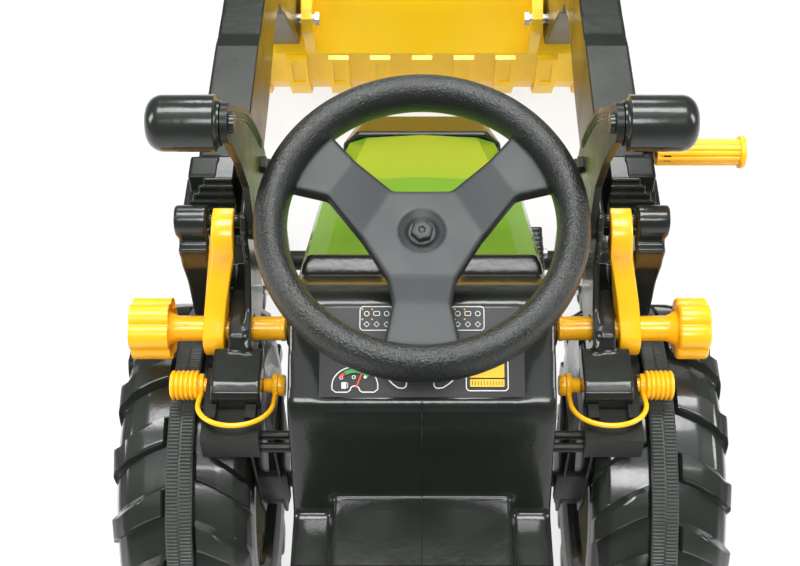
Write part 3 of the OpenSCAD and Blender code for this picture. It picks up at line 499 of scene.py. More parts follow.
foot_left = [(gx - 15.5, gs - 3), (gx - 13, gs - 5.4), (gx - 5, gs - 5.4), (gx - 3.4, gs - 4)]
foot_right = [(gx + 3.4, gs - 4), (gx + 5, gs - 5.4), (gx + 13, gs - 5.4), (gx + 15.5, gs - 3)]
needle_hub = ring(gx, gs - 3.2, 3.0, 170, 10, 8)
gauge_outline = widened(ring(gx, gs, 15.5, 0, 180, 30) + foot_left + needle_hub + foot_right)
display_frame = rounded_box(DISPLAY[0] - 3, DISPLAY[1] + 3, DISPLAY[2] - 3.2, DISPLAY[3] + 3, 3)
dial_left = [(-33, 22), (-29, 16), (-24, 10.5), (-19.5, 7.2)]
dial_left += ring(-16, 10.2, 3.4, 250, 360, 6) + [(-12.6, 22)]
dial_right = [(33, 22), (28, 16), (22, 10.5), (17, 7.2)]
dial_right += ring(13, 10.2, 3.4, 290, 180, 6) + [(9.6, 22)]
pump_hose = [(gx - 6.8, gs - 1.6), (gx - 5.8, gs - 1.6), (gx - 5.8, gs + 1.8), (gx - 7, gs + 2.6)]
white_lines = [
    ribbon(gauge_outline, 0.9, loop=True),
    ribbon(display_frame, 0.8, loop=True),
    ribbon(dial_left, 1.0),
    ribbon(dial_right, 1.0),
    ribbon(ring(-18.5, 16, 2.3), 0.6),
    ribbon([(-20.5, 16), (-17.5, 16)], 0.6),
    ribbon(ring(gx - 11.2, gs + 6.5, 1.3), 0.5),
    ribbon(ring(gx - 1, gs + 7, 1.3), 0.5),
    patch(ring(gx + 8.3, gs + 7, 1.3)),
    patch(rounded_box(gx - 11, gx - 7, gs - 2.6, gs + 2.8, 0.6)),
    ribbon(pump_hose, 0.5),
]
for sign in (-1, 1):
    x0, x1 = (-51, -24) if sign < 0 else (24, 51)
    white_lines.append(ribbon(rounded_box(x0, x1, 55, 75, 3), 0.7, loop=True))
    for col in range(3):
        x = x0 + 5.5 + col * 8.2
        white_lines.append(ribbon([(x - 2.2, 60), (x, 62.2), (x + 2.2, 60), (x, 57.8)], 0.6, loop=True))
        if col != 1:
            white_lines.append(ribbon(ring(x, 69, 2.0, 0, 360, 10), 0.6))
        else:
            white_lines.append(ribbon(rounded_box(x - 2.4, x + 2.4, 67.4, 70.8, 0.7), 0.6, loop=True))
piece("dash_lines", *joined(*white_lines), print_white, "tractor", "lamp", sharp=180)
yellow_marks = [patch(rounded_box(DISPLAY[0], DISPLAY[1], 15.5, DISPLAY[3], 0.8)),
                patch(rounded_box(DISPLAY[0], DISPLAY[1], DISPLAY[2], 14.2, 0.8))]
yellow_marks += [patch(ring(x, s, 0.7, 0, 360, 8)) for x in (-49, -41, 27, 35) for s in (64.2, 72.6)]
piece("dash_display", *joined(*yellow_marks), print_yellow, "tractor", "yellow", sharp=180)
bars = []
for k in range(11):
    x = DISPLAY[0] + 2 + 2.4 * k
    bars.append(ribbon([(x, 9.2), (x, 12.8)], 0.5, up=0.35 * MM))
piece("dash_bars", *joined(*bars), film_black, "tractor", "grain_black", sharp=180)
scale = ribbon(widened(ring(gx, gs, 12.2, 40, 125, 14)), 3.2)
piece("dash_scale", *scale, print_green, "tractor", "lime", sharp=180)
needle = ribbon([(gx + 1, gs - 1.5), (gx + 5.4, gs + 9.5)], 1.3, up=0.4 * MM)
red_zone = ribbon(widened(ring(gx, gs, 12.2, 128, 150, 5)), 2.4)
piece("dash_needle", *joined(needle, red_zone), print_red, "tractor", "yellow", sharp=180)
print("dash lines", len(white_lines))

# %% [markdown]
# ## Loader arms, towers, pedals and chain guard
# The arms are tall black beams with a narrow rounded edge, so their cubes are finer and they are
# smoothed less than the cockpit.

# %% Mould the arms and towers
cube_fine = 1.6
for side in ("left", "right"):
    moulded("loader_arm_" + side, beam_black, "loader", cube_fine, 4)
    moulded("tower_" + side, shell_black, "tractor", cube_fine, 5)
    moulded("pedal_" + side, shell_black, "pedal_" + side, cube_fine, 3)
moulded("chain_guard", shell_black, "tractor", cube_fine, 3)

# %% [markdown]
# ## Ribbed shoulders of the arms
# The rear end of each arm swells into a shoulder with five nested L-shaped steps, each one wider
# and lower than the step before. Overlapping blocks are melted into one skin with fine cubes, the
# same way as the shells.

# %% Step the shoulders
SHOULDER_STEPS = 5
SHOULDER_IN = 158
SHOULDER_FRONT = 128


def melted(name, parts, cube, passes, mat, body, slot):
    """Overlapping closed parts as one rounded skin."""
    rough = piece(name + "_rough", *joined(*parts), mat, body, slot)
    mesh = melt(rough, cube, passes)
    print(name, len(mesh.polygons), "faces")
    return dress(name, mesh, mat, body, (), 60)


def block(x0, x1, y0, y1, z0, z1):
    """A block in mm, with y counted forward from the rear axle."""
    outline = [(rear_hub.y + y * MM, z * MM) for y, z in ((y0, z0), (y1, z0), (y1, z1), (y0, z1))]
    return sheet_cut(outline, x0 * MM, x1 * MM)


for side, sign in (("left", -1), ("right", 1)):
    steps = []
    for i in range(SHOULDER_STEPS):
        outer, rear = sign * (183 + 5 * i), 100 - 2.2 * i
        steps.append(block(sign * SHOULDER_IN, outer, rear, SHOULDER_FRONT, 458 - i, 489 - 7 * i))
    melted("arm_shoulder_" + side, steps, 1.1, 3, shell_black, "loader", "gloss_black")

# %% [markdown]
# ## Hangers of the loader mount
# Two black plates hang from the cross bars on each side, in the gap between body and wheel, with a
# round boss at their foot. They carry the mount's pull into the chassis and hide the rear axle from
# above.

# %% Hang the plates
def hanger(sign):
    outline = [(-76, 343), (-8, 343), (-12, 262), (-30, 226), (-66, 226), (-72, 250)]
    outline = [(rear_hub.y + y * MM, z * MM) for y, z in outline]
    plates = [sheet_cut(outline, sign * x * MM, sign * (x + 3) * MM) for x in (121.5, 141.5)]
    foot = turned([(sign * x * MM, r * MM) for x, r in ((121, 9), (121.5, 10), (143, 10), (144.5, 8.5))],
                  rear_hub.y - 50 * MM, 0.232, 40)
    brace = block(sign * 116, sign * 144, -74, -68, 262, 300)
    return joined(*plates, foot, brace)


for side, sign in (("left", -1), ("right", 1)):
    hung = piece("mount_hanger_" + side, *hanger(sign), coat_black, "tractor", "black_steel")
    soften_edges(hung, 0.8, 2, 40)

# %% [markdown]
# ## The steering wheel
# Rim, three spokes and a five-sided hub plate are one moulding. The plate lies deepest; each spoke
# climbs from it to a ridge and runs on flat to the rim. Drawing that as one mesh with fillets is
# slow work, so the rim and a folded spoke plate are made apart, pushed into each other, and then
# fused by the same fine cubes as the shells.

# %% Fold the spokes and fuse the wheel
wheel_at = joint_at("steering_turn")
column_line = Vector(JOINTS["steering_turn"]["axis"]).normalized()
wheel_up = column_line.cross(Vector((1, 0, 0))).normalized()
wheel_r = reach("steering_wheel").x / 2
RIM_WIDE, RIM_DEEP = 27 * MM, 38 * MM
PLATE_LOW, RIDGE, SPOKE_END = -15 * MM, -3 * MM, 1 * MM
SPOKE_THICK = 15 * MM


def on_wheel(u, v, w):
    return wheel_at + Vector((1, 0, 0)) * u + wheel_up * v + column_line * w


def wheel_rings(rows, sides, turn=0.0):
    return [[on_wheel(r * MM * math.cos(a + turn), r * MM * math.sin(a + turn), w * MM)
             for a in circle(sides)] for r, w in rows]


def rim_rings(sides=32, around=160):
    rings = []
    for k in range(around):
        a = 2 * math.pi * k / around
        ring = []
        for j in range(sides):
            b = 2 * math.pi * j / sides
            du = RIM_WIDE / 2 * math.copysign(abs(math.cos(b)) ** 0.9, math.cos(b))
            dw = RIM_DEEP / 2 * math.copysign(abs(math.sin(b)) ** 0.9, math.sin(b))
            far = wheel_r - RIM_WIDE / 2 + du
            ring.append(on_wheel(far * math.cos(a), far * math.sin(a), dw))
        rings.append(ring)
    return loft(rings, closed_row=True, caps=False)


def folded_plate():
    """The top of hub and spokes as flat facets, with the same facets a thickness lower."""
    top = {"h1": (-24, 37), "h2": (24, 37), "h3": (49, -6),
           "h4": (28, -41), "h5": (-28, -41), "h6": (-49, -6)}
    ridge = {"r1": (56, 60), "r2": (77, 26), "l1": (-56, 60), "l2": (-77, 26),
             "d1": (-23, -68), "d2": (23, -68)}
    end = {"re1": (80, 87), "re2": (113, 33), "le1": (-80, 87), "le2": (-113, 33),
           "de1": (-31, -112), "de2": (31, -112)}
    facets = [("h1", "h2", "h3", "h4", "h5", "h6"), ("h2", "r1", "r2", "h3"), ("r1", "re1", "re2", "r2"),
              ("l1", "h1", "h6", "l2"), ("le1", "l1", "l2", "le2"), ("h5", "h4", "d2", "d1"),
              ("d1", "d2", "de2", "de1")]
    names = list(top) + list(ridge) + list(end)
    heights = [PLATE_LOW] * len(top) + [RIDGE] * len(ridge) + [SPOKE_END] * len(end)
    spots = list(top.values()) + list(ridge.values()) + list(end.values())
    upper = [on_wheel(u * MM, v * MM, w) for (u, v), w in zip(spots, heights)]
    lower = [on_wheel(u * MM, v * MM, w - SPOKE_THICK) for (u, v), w in zip(spots, heights)]
    where = {name: i for i, name in enumerate(names)}
    count = len(names)
    faces = [tuple(where[n] for n in facet) for facet in facets]
    edges = {}
    for face in faces:
        for a, b in zip(face, face[1:] + face[:1]):
            edges[(a, b)] = edges.get((a, b), 0) + 1
    walls = [(a, b, b + count, a + count) for a, b in edges if (b, a) not in edges]
    return upper + lower, faces + [tuple(i + count for i in reversed(f)) for f in faces] + walls


rim = piece("wheel_rim_rough", *rim_rings(), pebble_black, "steering", "grain_black")
plate = piece("wheel_plate_rough", *folded_plate(), spoke_black, "steering", "grain_black")
soften_edges(plate, 2.2, 2, 12)
DISH = ((12.5, -19.5), (13, -18), (19, -15.8), (20.5, -14), (21, -9))
cutter = piece("wheel_dish", *loft(wheel_rings(DISH, 48)), spoke_black, "steering", "grain_black")
dish = plate.modifiers.new("dish", "BOOLEAN")
dish.operation = "DIFFERENCE"
dish.object = cutter
settle(plate)
both = rim.data.copy()
work = bmesh.new()
work.from_mesh(both)
work.from_mesh(plate.data)
work.to_mesh(both)
work.free()
for rough in (rim, plate, cutter):
    bpy.data.objects.remove(rough)
fused = put("wheel_fused", both)
mesh = melt(fused, 1.3, 4)
steering_wheel = dress("steering_wheel_moulded", mesh, pebble_black, "steering",
                       ("steering_wheel",), 60)
steering_wheel.data.materials.append(spoke_black)
rim_inner = wheel_r - RIM_WIDE - 1.5 * MM
for face in steering_wheel.data.polygons:
    away = face.center - wheel_at
    if (away - column_line * away.dot(column_line)).length < rim_inner:
        face.material_index = 1
print("steering wheel", len(mesh.polygons), "faces")

# %% [markdown]
# ## The hub nut
# A low six-sided cap with a small dimple sits in the dish of the hub plate and covers the nut.

# %% Shape the hub cap
WASHER = ((5, -26), (5, -19.6), (12, -19.6), (12, -18.4), (11.2, -17.4), (9, -17.2))
CAP = ((9.6, -17.6), (9.6, -14), (8.4, -12.8), (3.4, -12.4), (2.6, -13.6), (0.6, -13.8))
washer = loft(wheel_rings(WASHER, 48))
cap = loft(wheel_rings(CAP, 6, 0.26))
hub_cap = piece("hub_cap", *joined(washer, cap), spoke_black, "steering", "gloss_black", ("hub_nut",), 30)
soften_edges(hub_cap, 0.5, 2, 30)

# %% [markdown]
# ## Rear tyres
# Each rear tyre is blow-moulded with two rows of bars that lean back from a rubber band in the
# middle. A bar could be a separate mesh, but a real one grows out of the tyre with a fillet. So the
# whole tyre is one grid around the axle, and a height rule lifts the bars out of it.

# %% Grow a tyre with bars
def smooth_step(t):
    t = min(max(t, 0.0), 1.0)
    return t * t * (3 - 2 * t)


def tyre(name, x_mid, y, z, r, half, rim_r, band_half, bars, height, body, stands_for, steps):
    tread = r - height
    flank = [(band_half, tread), (half * 0.55, tread - 0.5 * MM), (half * 0.78, tread - 3 * MM),
             (half * 0.92, tread - 9 * MM), (half * 0.985, tread - 19 * MM), (half, tread - 32 * MM),
             (half * 0.985, rim_r + 16 * MM), (half * 0.93, rim_r + 6 * MM), (half * 0.8, rim_r)]
    profile = []
    for (xa, ra), (xb, rb) in zip(flank, flank[1:]):
        far = math.hypot(xb - xa, rb - ra)
        count = max(2, round(far / (2.5 * MM)))
        profile += [(xa + (xb - xa) * k / count, ra + (rb - ra) * k / count) for k in range(count)]
    profile.append(flank[-1])
    profile = [(profile[0][0], tread - 2 * MM)] + profile
    length = [0.0]
    for (xa, ra), (xb, rb) in zip(profile, profile[1:]):
        length.append(length[-1] + math.hypot(xb - xa, rb - ra))
    bar_long = half - band_half + 16 * MM
    pitch = 2 * math.pi / bars
    pitch_mm = pitch * tread
    bar_wide = pitch_mm * 0.4

    def lean(s):
        t = min(s / bar_long, 1.0)
        return (0.30 * t + 0.34 * t * t) * bar_long / tread

    def lift(s, angle, shift):
        if s > bar_long:
            return 0.0
        t = s / bar_long
        off = (((angle - shift) / pitch) % 1.0 - 0.5) * pitch_mm
        wide = bar_wide / 2 * (1 - 0.12 * t)
        edge = smooth_step((wide - abs(off)) / (3.6 * MM) + 0.5)
        tip = smooth_step((bar_long - s) / (9 * MM))
        start = smooth_step((s - 0.5 * MM) / (3 * MM))
        return height * edge * tip * start * (1 - 0.14 * off / wide) * (1 - 0.1 * t)

    rings = []
    for sign, shift in ((1, 0.0), (-1, pitch / 2)):
        row = []
        for (x, rad), s in zip(profile, length):
            outward = Vector((0.0, 1.0)) if s < half * 0.75 else Vector((0.5, 0.87))
            ring = []
            for a in circle(steps):
                up = lift(s, a, shift)
                rr = min(rad + up * outward.y, r - 0.3 * MM)
                xx = min(x + up * outward.x * 0.6, half)
                a += lean(s)
                ring.append(Vector((x_mid + sign * xx, y + rr * math.cos(a), z + rr * math.sin(a))))
            row.append(ring)
        rings = (list(reversed(row)) + rings) if sign < 0 else rings + row
    verts, faces = loft(rings, closed_row=True, caps=False)
    made = piece(name, verts, faces, tread_black, body, "gloss_black", stands_for, 50)
    print(name, len(faces), "faces")
    return made


rear_r = reach("rear_wheel_right").z / 2
rear_half = reach("rear_wheel_right").x / 2
rear_mid = middle("rear_wheel_right").x
band_half = 12.5 * MM
BARS = 17
BAR_HIGH = 11 * MM
REAR_RIM = 95 * MM
around = BARS * 40
for side, sign in (("left", -1), ("right", 1)):
    tyre("rear_tyre_" + side, sign * rear_mid, rear_hub.y, rear_hub.z, rear_r, rear_half,
         REAR_RIM, band_half, BARS, BAR_HIGH, "rear_axle", ("rear_wheel_" + side,), around)

# %% [markdown]
# ## Front tyres
# The front tyres are smaller and narrower, with the same bars but no rubber band.

# %% Grow the front tyres
front_r = reach("front_wheel_right").z / 2
front_half = reach("front_wheel_right").x / 2
FRONT_BARS = 13
FRONT_RIM = 55 * MM
FRONT_BAND = 3 * MM
front_around = FRONT_BARS * 30
for side in ("left", "right"):
    hub = middle("front_wheel_" + side)
    body = "front_wheel_" + side
    tyre("front_tyre_" + side, hub.x, hub.y, hub.z, front_r, front_half, FRONT_RIM, FRONT_BAND,
         FRONT_BARS, BAR_HIGH, body, (body,), front_around)

# %% [markdown]
# ## The rubber bands
# Each band carries two columns of fine ribs, set half a rib apart, with a shallow line between
# them. They quiet the wheel on stone. Ribs this fine could be a bump, but seen from close by they
# break the outline of the band, so they are real.

# %% Rib the rubber bands
RIB_PITCH = 3.1 * MM


def around_axle(x, r, angle):
    return Vector((x, rear_hub.y + r * math.cos(angle), rear_hub.z + r * math.sin(angle)))


def ribbed_band(x_mid, r, half, depth):
    ribs = round(2 * math.pi * r / RIB_PITCH)
    per = 6
    steps = ribs * per
    edges = [-1.0, -0.93, -0.86, -0.10, -0.05, 0.05, 0.10, 0.86, 0.93, 1.0]
    rings = []
    for e in edges:
        ring = []
        for k in range(steps):
            a = 2 * math.pi * k / steps
            phase = (k / per + (0.5 if e > 0 else 0.0)) % 1.0
            rib = smooth_step(1.6 - 3.2 * abs(phase - 0.5)) * depth
            if abs(e) >= 0.93 or abs(e) <= 0.05:
                rib = 0.2 * depth
            rr = r - depth + rib - (0.6 * MM if abs(e) > 0.99 else 0)
            ring.append(around_axle(x_mid + e * half, rr, a))
        rings.append(ring)
    inner = []
    for e in (1.0, -1.0):
        inner.append([around_axle(x_mid + e * half, r - 5 * MM, a) for a in circle(steps)])
    return loft(rings + inner, closed_row=True, caps=False)


bands = joined(ribbed_band(rear_mid, rear_r, band_half - 1.2 * MM, 1.3 * MM),
               ribbed_band(-rear_mid, rear_r, band_half - 1.2 * MM, 1.3 * MM))
piece("rubber_bands", *bands, rubber_black, "rear_axle", "rubber", ("rear_bands",), 40)

# %% [markdown]
# ## Star knobs
# A star knob is turned by hand to clamp the loader. Its head is a ring of round lobes, its bar has
# flats along it, and a short flare joins the two. The head is a loft whose ring follows a wavy
# circle and shrinks at both ends to round the edge.

# %% Turn the star knobs
LOBES = 6


def lobed(x0, x1, r, wave, edge, y, z, lobes=LOBES, sides=160):
    rings = []
    for x, scale in round_over(x0, x1, r, edge, 4):
        ring = []
        for k in range(sides):
            a = 2 * math.pi * k / sides
            dip = abs(math.sin(lobes * a / 2)) ** 0.7
            rr = scale - wave * (1 - dip) * (scale / r)
            ring.append(Vector((x, y + rr * math.cos(a), z + rr * math.sin(a))))
        rings.append(ring)
    return loft(rings)


def star_knob(side, sign):
    low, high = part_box("star_knob_" + side)
    inner, outer = (low.x, high.x) if sign > 0 else (high.x, low.x)
    at = joint_at("star_knob_%s_turn" % side)
    knob_r = (high.z - low.z) / 2
    bar_r = 11 * MM
    depth = sign * 27 * MM
    head = lobed(outer - depth, outer, knob_r, 4.2 * MM, 3 * MM, at.y, at.z)
    bar_end = inner + sign * 12.3 * MM
    lever_x = sign * 176 * MM
    bar = turned([(bar_end, 5 * MM), (bar_end, bar_r - 1 * MM), (bar_end + sign * 1 * MM, bar_r),
                  (bar_end + sign * 4 * MM, bar_r), (bar_end + sign * 4.4 * MM, bar_r - 0.7 * MM),
                  (lever_x, bar_r - 0.7 * MM), (lever_x + sign * 16 * MM, bar_r - 0.2 * MM),
                  (outer - depth - sign * 8 * MM, bar_r), (outer - depth - sign * 3 * MM, bar_r + 2.5 * MM),
                  (outer - depth + sign * 1 * MM, bar_r + 5 * MM)], at.y, at.z, 48)
    stub = turned([(inner, 5 * MM), (bar_end + sign * 1 * MM, 5 * MM)], at.y, at.z, 32)
    return piece("star_knob_%s_turned" % side, *joined(head, bar, stub), yellow_gloss,
                 "star_knob_" + side, "yellow", ("star_knob_" + side,), 42)


for side, sign in (("left", -1), ("right", 1)):
    star_knob(side, sign)

# %% [markdown]
# ## Locking pins
# A locking pin has a ribbed head to grip, two thin rings on its neck, and a plain shank that goes
# through the bracket into a cap. Head and shank are round, so one lathe profile makes both.

# %% Turn the locking pins
HEAD_RIBS = 6


def locking_pin(side, sign):
    low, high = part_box("locking_pin_" + side)
    inner, outer = (low.x, high.x) if sign > 0 else (high.x, low.x)
    at = middle("locking_pin_" + side)
    head_r = (high.z - low.z) / 2
    shank = 6 * MM
    profile = [(inner, shank - 1 * MM), (inner + sign * 1 * MM, shank)]
    head_start = outer - sign * 24 * MM
    profile += [(head_start - sign * 1 * MM, shank), (head_start, head_r - 2.4 * MM)]
    step = 24 * MM / HEAD_RIBS
    for rib in range(HEAD_RIBS):
        start = head_start + sign * rib * step
        for t, r in ((0.04, 1.8), (0.14, 0.5), (0.3, 0), (0.6, 0), (0.78, 0.5), (0.9, 1.8), (0.99, 2.0)):
            profile.append((start + sign * t * step, head_r - r * MM))
    profile += [(outer - sign * 0.2 * MM, head_r - 3 * MM), (outer, head_r - 4 * MM)]
    return piece("locking_pin_%s_turned" % side, *turned(profile, at.y, at.z, 56), yellow_gloss,
                 "locking_pin_" + side, "yellow", ("locking_pin_" + side,), 50)


for side, sign in (("left", -1), ("right", 1)):
    locking_pin(side, sign)

# %% [markdown]
# ## The keeper straps
# A thin strap joins the neck of each locking pin to the cap on its inner end, so a child can't lose
# it. It sags in one even loop behind the bracket.

# %% Bend the keeper straps
def keeper(sign):
    pin = middle("locking_pin_right")
    x_in, x_out = 124 * MM, 186.8 * MM
    mid, half = (x_in + x_out) / 2, (x_out - x_in) / 2
    tilt = math.radians(-18)
    path = []
    for k in range(33):
        a = math.pi * k / 32
        back = -25 * MM - half * 0.92 * math.sin(a)
        x = mid + half * math.cos(a)
        path.append(Vector((sign * x, pin.y + back * math.cos(tilt), pin.z + back * math.sin(tilt))))
    ends = [Vector((sign * x_out, pin.y - 8 * MM, pin.z)), Vector((sign * x_in, pin.y - 9 * MM, pin.z))]
    strap = tube([ends[0]] + path + [ends[1]], 2.2 * MM, 12)
    collar = turned([(sign * (x_out - 2 * MM), 6.4 * MM), (sign * (x_out - 2 * MM), 9.4 * MM),
                     (sign * (x_out - 1 * MM), 10 * MM), (sign * (x_out + 1 * MM), 10 * MM),
                     (sign * (x_out + 2 * MM), 9.4 * MM), (sign * (x_out + 2 * MM), 6.4 * MM)],
                    pin.y, pin.z, 40)
    cap = turned([(sign * (x_in + 2.5 * MM), 6.4 * MM), (sign * (x_in + 2.5 * MM), 10 * MM),
                  (sign * (x_in + 1.5 * MM), 10.5 * MM), (sign * (x_in - 1.5 * MM), 10.5 * MM),
                  (sign * (x_in - 2.5 * MM), 9 * MM), (sign * (x_in - 7 * MM), 9 * MM),
                  (sign * (x_in - 8 * MM), 8 * MM)], pin.y, pin.z, 40)
    return joined(strap, collar, cap)


piece("keeper_straps", *joined(keeper(1), keeper(-1)), yellow_gloss, "tractor", "yellow", ("pin_straps",), 45)

# %% [markdown]
# ## Lock levers
# Each yellow lever hangs from a hook over the loader pivot and ends in an eye around the knob bar.
# Seen from behind it leans outwards as it comes down, so its plate is cut flat and then sheared.

# %% Cut the lock levers
def lock_lever(side, sign):
    bar = joint_at("lock_lever_%s_swing" % side)
    pin = loader_pivot
    top_in = sign * 155.5 * MM
    low_in = sign * 167.2 * MM
    wide = sign * 18 * MM

    def lean(y, z):
        t = min(max((z - bar.z - 8 * MM) / (pin.z - bar.z - 22 * MM), 0.0), 1.0)
        return low_in + (top_in - low_in) * (t ** 1.5)

    eye = arc(bar.y, bar.z, 23 * MM, 40, -215, 26)
    shank_left = [(bar.y + (pin.y - bar.y) * t - (19 - 6 * t) * MM, bar.z + (pin.z - bar.z) * t + 3 * MM)
                  for t in (0.18, 0.36, 0.54, 0.72)]
    hook = [(pin.y + dy * MM, pin.z + dz * MM) for dy, dz in
            ((-29, -14), (-24, 1), (-16, 8), (-6, 10.5), (5, 10.5), (6, 4), (-3, 3), (-9, -2), (-12, -14))]
    shank_right = [(bar.y + (pin.y - bar.y) * t + (12 - 2 * t) * MM, bar.z + (pin.z - bar.z) * t - 2 * MM)
                   for t in (0.62, 0.46, 0.3)]
    outline = eye + shank_left + hook + shank_right
    outer = sheet_cut(outline, 0, wide, lean)
    made = piece("lock_lever_%s_cut" % side, *outer, yellow_gloss, "lock_lever_" + side, "yellow",
                 ("lock_lever_" + side,), 40)
    return soften_edges(made, 1.6, 3, 50)


for side, sign in (("left", -1), ("right", 1)):
    lock_lever(side, sign)

# %% [markdown]
# ## Handle rollers and the tipping grip
# The black rollers have a fully rounded outer end. The yellow grip on the right is fluted along its
# length and ends in a flange.

# %% Turn the rollers and the grip
for side, sign in (("left", -1), ("right", 1)):
    low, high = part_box("handle_roller_" + side)
    inner, outer = (low.x, high.x) if sign > 0 else (high.x, low.x)
    at = joint_at("handle_roller_%s_turn" % side)
    roller_r = (high.z - low.z) / 2
    plate_low, plate_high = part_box("handle_plate_" + side)
    body_in = (plate_high.x if sign > 0 else plate_low.x) + sign * 0.6 * MM
    shape = [(body_in, roller_r - 9 * MM), (body_in, roller_r - 4 * MM)]
    shape += [(body_in + sign * 4 * MM * math.sin(a), roller_r - 4 * MM + 4 * MM * (1 - math.cos(a)))
              for a in (math.pi / 2 * k / 4 for k in range(1, 5))]
    shape += [(outer - sign * 12 * MM * (1 - math.sin(a)), roller_r - 12 * MM * (1 - math.cos(a)))
              for a in (math.pi / 2 * k / 8 for k in range(9))]
    pin = turned([(inner, 7 * MM), (inner + sign * 3.2 * MM, 7.5 * MM), (inner + sign * 3.3 * MM, 5 * MM),
                  (body_in + sign * 2 * MM, 5 * MM)], at.y, at.z, 32)
    piece("handle_roller_%s_turned" % side, *joined(turned(shape, at.y, at.z, 64), pin), shell_black,
          "roller_" + side, "gloss_black", ("handle_roller_" + side,), 50)

low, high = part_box("tip_grip")
grip_at = middle("tip_grip")
FLUTES = 14


def fluted(x0, x1, r, depth, y, z, sides=168):
    rings = []
    for x, share in ((x0, 0.0), (x0 + 2 * MM, 1.0), (x1 - 2 * MM, 1.0), (x1, 0.0)):
        ring = []
        for a in circle(sides):
            cut = depth * share * max(0.0, math.cos(FLUTES * a)) ** 0.7
            ring.append(Vector((x, y + (r - cut) * math.cos(a), z + (r - cut) * math.sin(a))))
        rings.append(ring)
    return loft(rings)


flange = turned(round_over(high.x - 5 * MM, high.x, (high.z - low.z) / 2, 1.6 * MM), grip_at.y, grip_at.z)
handle = fluted(low.x, high.x - 4.5 * MM, 11 * MM, 1.6 * MM, grip_at.y, grip_at.z)
piece("tip_grip_fluted", *joined(flange, handle), yellow_gloss, "tip_lever", "yellow", ("tip_grip",), 60)

# %% [markdown]
# ## Thin ribs on the handle plates
# Three thin lines run side by side along the bowed edge of each handle plate, from the roller down
# to the lower bolt. They are pressed folds that stiffen the sheet. Thin round rods half sunk in the
# plate give the same light lines.

# %% Press the ribs
def bowed(points):
    """Rounds a row of (y, z) points by cutting its corners twice."""
    for _ in range(2):
        cut = [points[0]]
        for (ay, az), (by, bz) in zip(points, points[1:]):
            cut.append((ay * 0.75 + by * 0.25, az * 0.75 + bz * 0.25))
            cut.append((ay * 0.25 + by * 0.75, az * 0.25 + bz * 0.75))
        points = cut + [points[-1]]
    return points


for side, sign in (("left", -1), ("right", 1)):
    plate_low, plate_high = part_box("handle_plate_" + side)
    face_x = plate_high.x if sign < 0 else plate_low.x
    roller = joint_at("handle_roller_%s_turn" % side)
    rods = []
    for inset in (2.0, 5.5, 9.0):
        edge = [(roller.y + (10 - inset) * MM, roller.z + 3 * MM), (rear_hub.y + (63 - inset) * MM, 0.603),
                (rear_hub.y + (102 - inset) * MM, 0.564), (rear_hub.y + (134 - inset) * MM, 0.515),
                (rear_hub.y + (150 - inset) * MM, 0.486)]
        rods.append(tube([Vector((face_x, y, z)) for y, z in bowed(edge)], 0.9 * MM, 8))
    piece("plate_ribs_" + side, *joined(*rods), coat_black, "loader", "black_steel")

# %% [markdown]
# ## Plain finishes for the rest of the frame
# Pieces whose CAD shape is already right keep it and only get their finish.

# %% Paint the kept pieces
KEPT = {
    coat_black: ["chassis_frame", "front_axle_beam", "foot_bracket_left", "foot_bracket_right",
                 "mount_cross_bars", "drive_chain", "hitch_jaw", "handle_plate_left",
                 "handle_plate_right", "arm_cross_tube", "tip_lever", "radiator_grille", "rear_axle"],
    bright_zinc: ["steering_shaft", "lower_shaft", "knuckle_left", "knuckle_right", "tie_rod",
                  "drive_sprocket", "crank", "bucket_pins", "pivot_nuts", "tip_rod"],
    # The rear rims: yellow, with painted shade on their inward side.
    rim_yellow_shaded_inside: ["rear_rims"],
    yellow_gloss: ["front_rim_left", "front_rim_right"],
    bucket_yellow: ["bucket"],
    hood_green: ["hood"],
    lamp_clear: ["headlights"],
    film_black: ["dash_panel"],
    spoke_black: ["arm_bolts"],
}
for mat, names in KEPT.items():
    for name in names:
        mesh = frame["nodes"][name].data
        mesh.materials.clear()
        mesh.materials.append(mat)
        mesh.shade_smooth()
        mesh.set_sharp_from_angle(angle=math.radians(32))
for name, node in frame["nodes"].items():
    if not node.data.materials:
        node.data.materials.append(shell_black)

# %% [markdown]
# ## Floor and light
# The toy stands on a pale floor in a white surround. Five large soft lamps give the broad
# highlights of a studio, and the surround fills the shadows.

# %% Light the toy
def white_to_camera(nodes, links, shader, surface, seen, mirrored):
    """Mixes a plain white in: one share of it for the camera, another for reflections."""
    path = nodes.new("ShaderNodeLightPath")
    amount = nodes.new("ShaderNodeMath")
    amount.operation = "MAXIMUM"
    for slot, (ray, level) in enumerate((("Is Camera Ray", seen), ("Is Glossy Ray", mirrored))):
        share = nodes.new("ShaderNodeMath")
        share.operation = "MULTIPLY"
        share.inputs[1].default_value = level
        links.new(path.outputs[ray], share.inputs[0])
        links.new(share.outputs[0], amount.inputs[slot])
    white = nodes.new("ShaderNodeEmission")
    blend = nodes.new("ShaderNodeMixShader")
    links.new(amount.outputs[0], blend.inputs[0])
    links.new(shader, blend.inputs[1])
    links.new(white.outputs[0], blend.inputs[2])
    links.new(blend.outputs[0], surface)


floor_mat = bpy.data.materials.new("floor_white")
floor_mat.use_nodes = True
tree = floor_mat.node_tree
tree.nodes["Principled BSDF"].inputs["Base Color"].default_value = (0.85, 0.85, 0.85, 1)
tree.nodes["Principled BSDF"].inputs["Roughness"].default_value = 0.7
white_to_camera(tree.nodes, tree.links, tree.nodes["Principled BSDF"].outputs[0],
                tree.nodes["Material Output"].inputs["Surface"], 0.8, 0.25)
floor_mesh = bpy.data.meshes.new("floor")
floor_mesh.from_pydata([(-6, -6, 0), (6, -6, 0), (6, 6, 0), (-6, 6, 0)], [], [(0, 1, 2, 3)])
floor_mesh.materials.append(floor_mat)
floor = put("floor", floor_mesh)

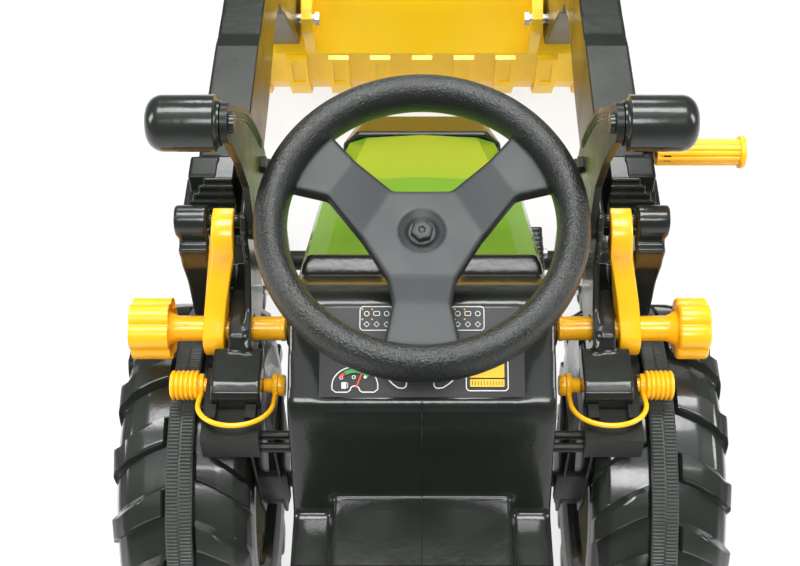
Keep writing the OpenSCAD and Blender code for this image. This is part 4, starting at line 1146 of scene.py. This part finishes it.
world = bpy.data.worlds.new("studio")
bpy.context.scene.world = world
world.use_nodes = True
nodes, links = world.node_tree.nodes, world.node_tree.links
surround = nodes["Background"]
surround.inputs["Color"].default_value = (0.95, 0.97, 1.0, 1)
surround.inputs["Strength"].default_value = 0.5
last = nodes["World Output"].inputs["Surface"]
white_to_camera(nodes, links, surround.outputs[0], last, 1.0, 1.0)

# What glossy plastic mirrors: a bright ceiling over a dim horizon, so black pieces keep dark sides.
direction = nodes.new("ShaderNodeTexCoord")
split = nodes.new("ShaderNodeSeparateXYZ")
ceiling = nodes.new("ShaderNodeValToRGB")
steps_up = ceiling.color_ramp.elements
steps_up[0].position = 0.0
steps_up[0].color = (0.30, 0.30, 0.30, 1)
steps_up[1].position = 1.0
steps_up[1].color = (1.5, 1.6, 1.65, 1)
for place, level in ((0.30, 0.12), (0.66, 0.12), (0.74, 0.22), (0.82, 0.28), (0.90, 0.5), (0.955, 1.2)):
    steps_up.new(place).color = (level, level * 1.03, level * 1.05, 1)
mirrored = nodes.new("ShaderNodeEmission")
rays = nodes.new("ShaderNodeLightPath")
chooser = nodes.new("ShaderNodeMixShader")
links.new(direction.outputs["Generated"], split.inputs[0])
links.new(split.outputs["Z"], ceiling.inputs[0])
links.new(ceiling.outputs[0], mirrored.inputs["Color"])
links.new(rays.outputs["Is Glossy Ray"], chooser.inputs[0])
links.new(last.links[0].from_socket, chooser.inputs[1])
links.new(mirrored.outputs[0], chooser.inputs[2])
links.new(chooser.outputs[0], last)


def lamp(name, place, aim, wide, high, power):
    data = bpy.data.lights.new(name, "AREA")
    data.shape = "RECTANGLE"
    data.size = wide
    data.size_y = high
    data.energy = power
    obj = put(name, data)
    obj.location = place
    obj.rotation_euler = (Vector(aim) - Vector(place)).to_track_quat("-Z", "Y").to_euler()
    return obj


lamp("lamp_over", (0.0, 0.05, 2.5), (0, 0.05, 0.3), 1.6, 0.6, 40)
lamp("lamp_front", (0.0, 1.7, 2.2), (0, 0.7, 0.3), 1.4, 0.6, 26)
lamp("lamp_left", (-2.2, -0.5, 1.8), (0, 0, 0.35), 0.7, 1.2, 32)
lamp("lamp_right", (2.2, -0.5, 1.8), (0, 0, 0.35), 0.7, 1.2, 30)
lamp("lamp_back", (0.0, -1.5, 2.3), (0, 0.3, 0.3), 1.2, 0.5, 26)

# %% [markdown]
# ## Close the lesson
# The looks must not change the size of the toy. The last step sets the Standard view transform.

# %% Set the view transform
bpy.context.scene.view_settings.view_transform = "Standard"
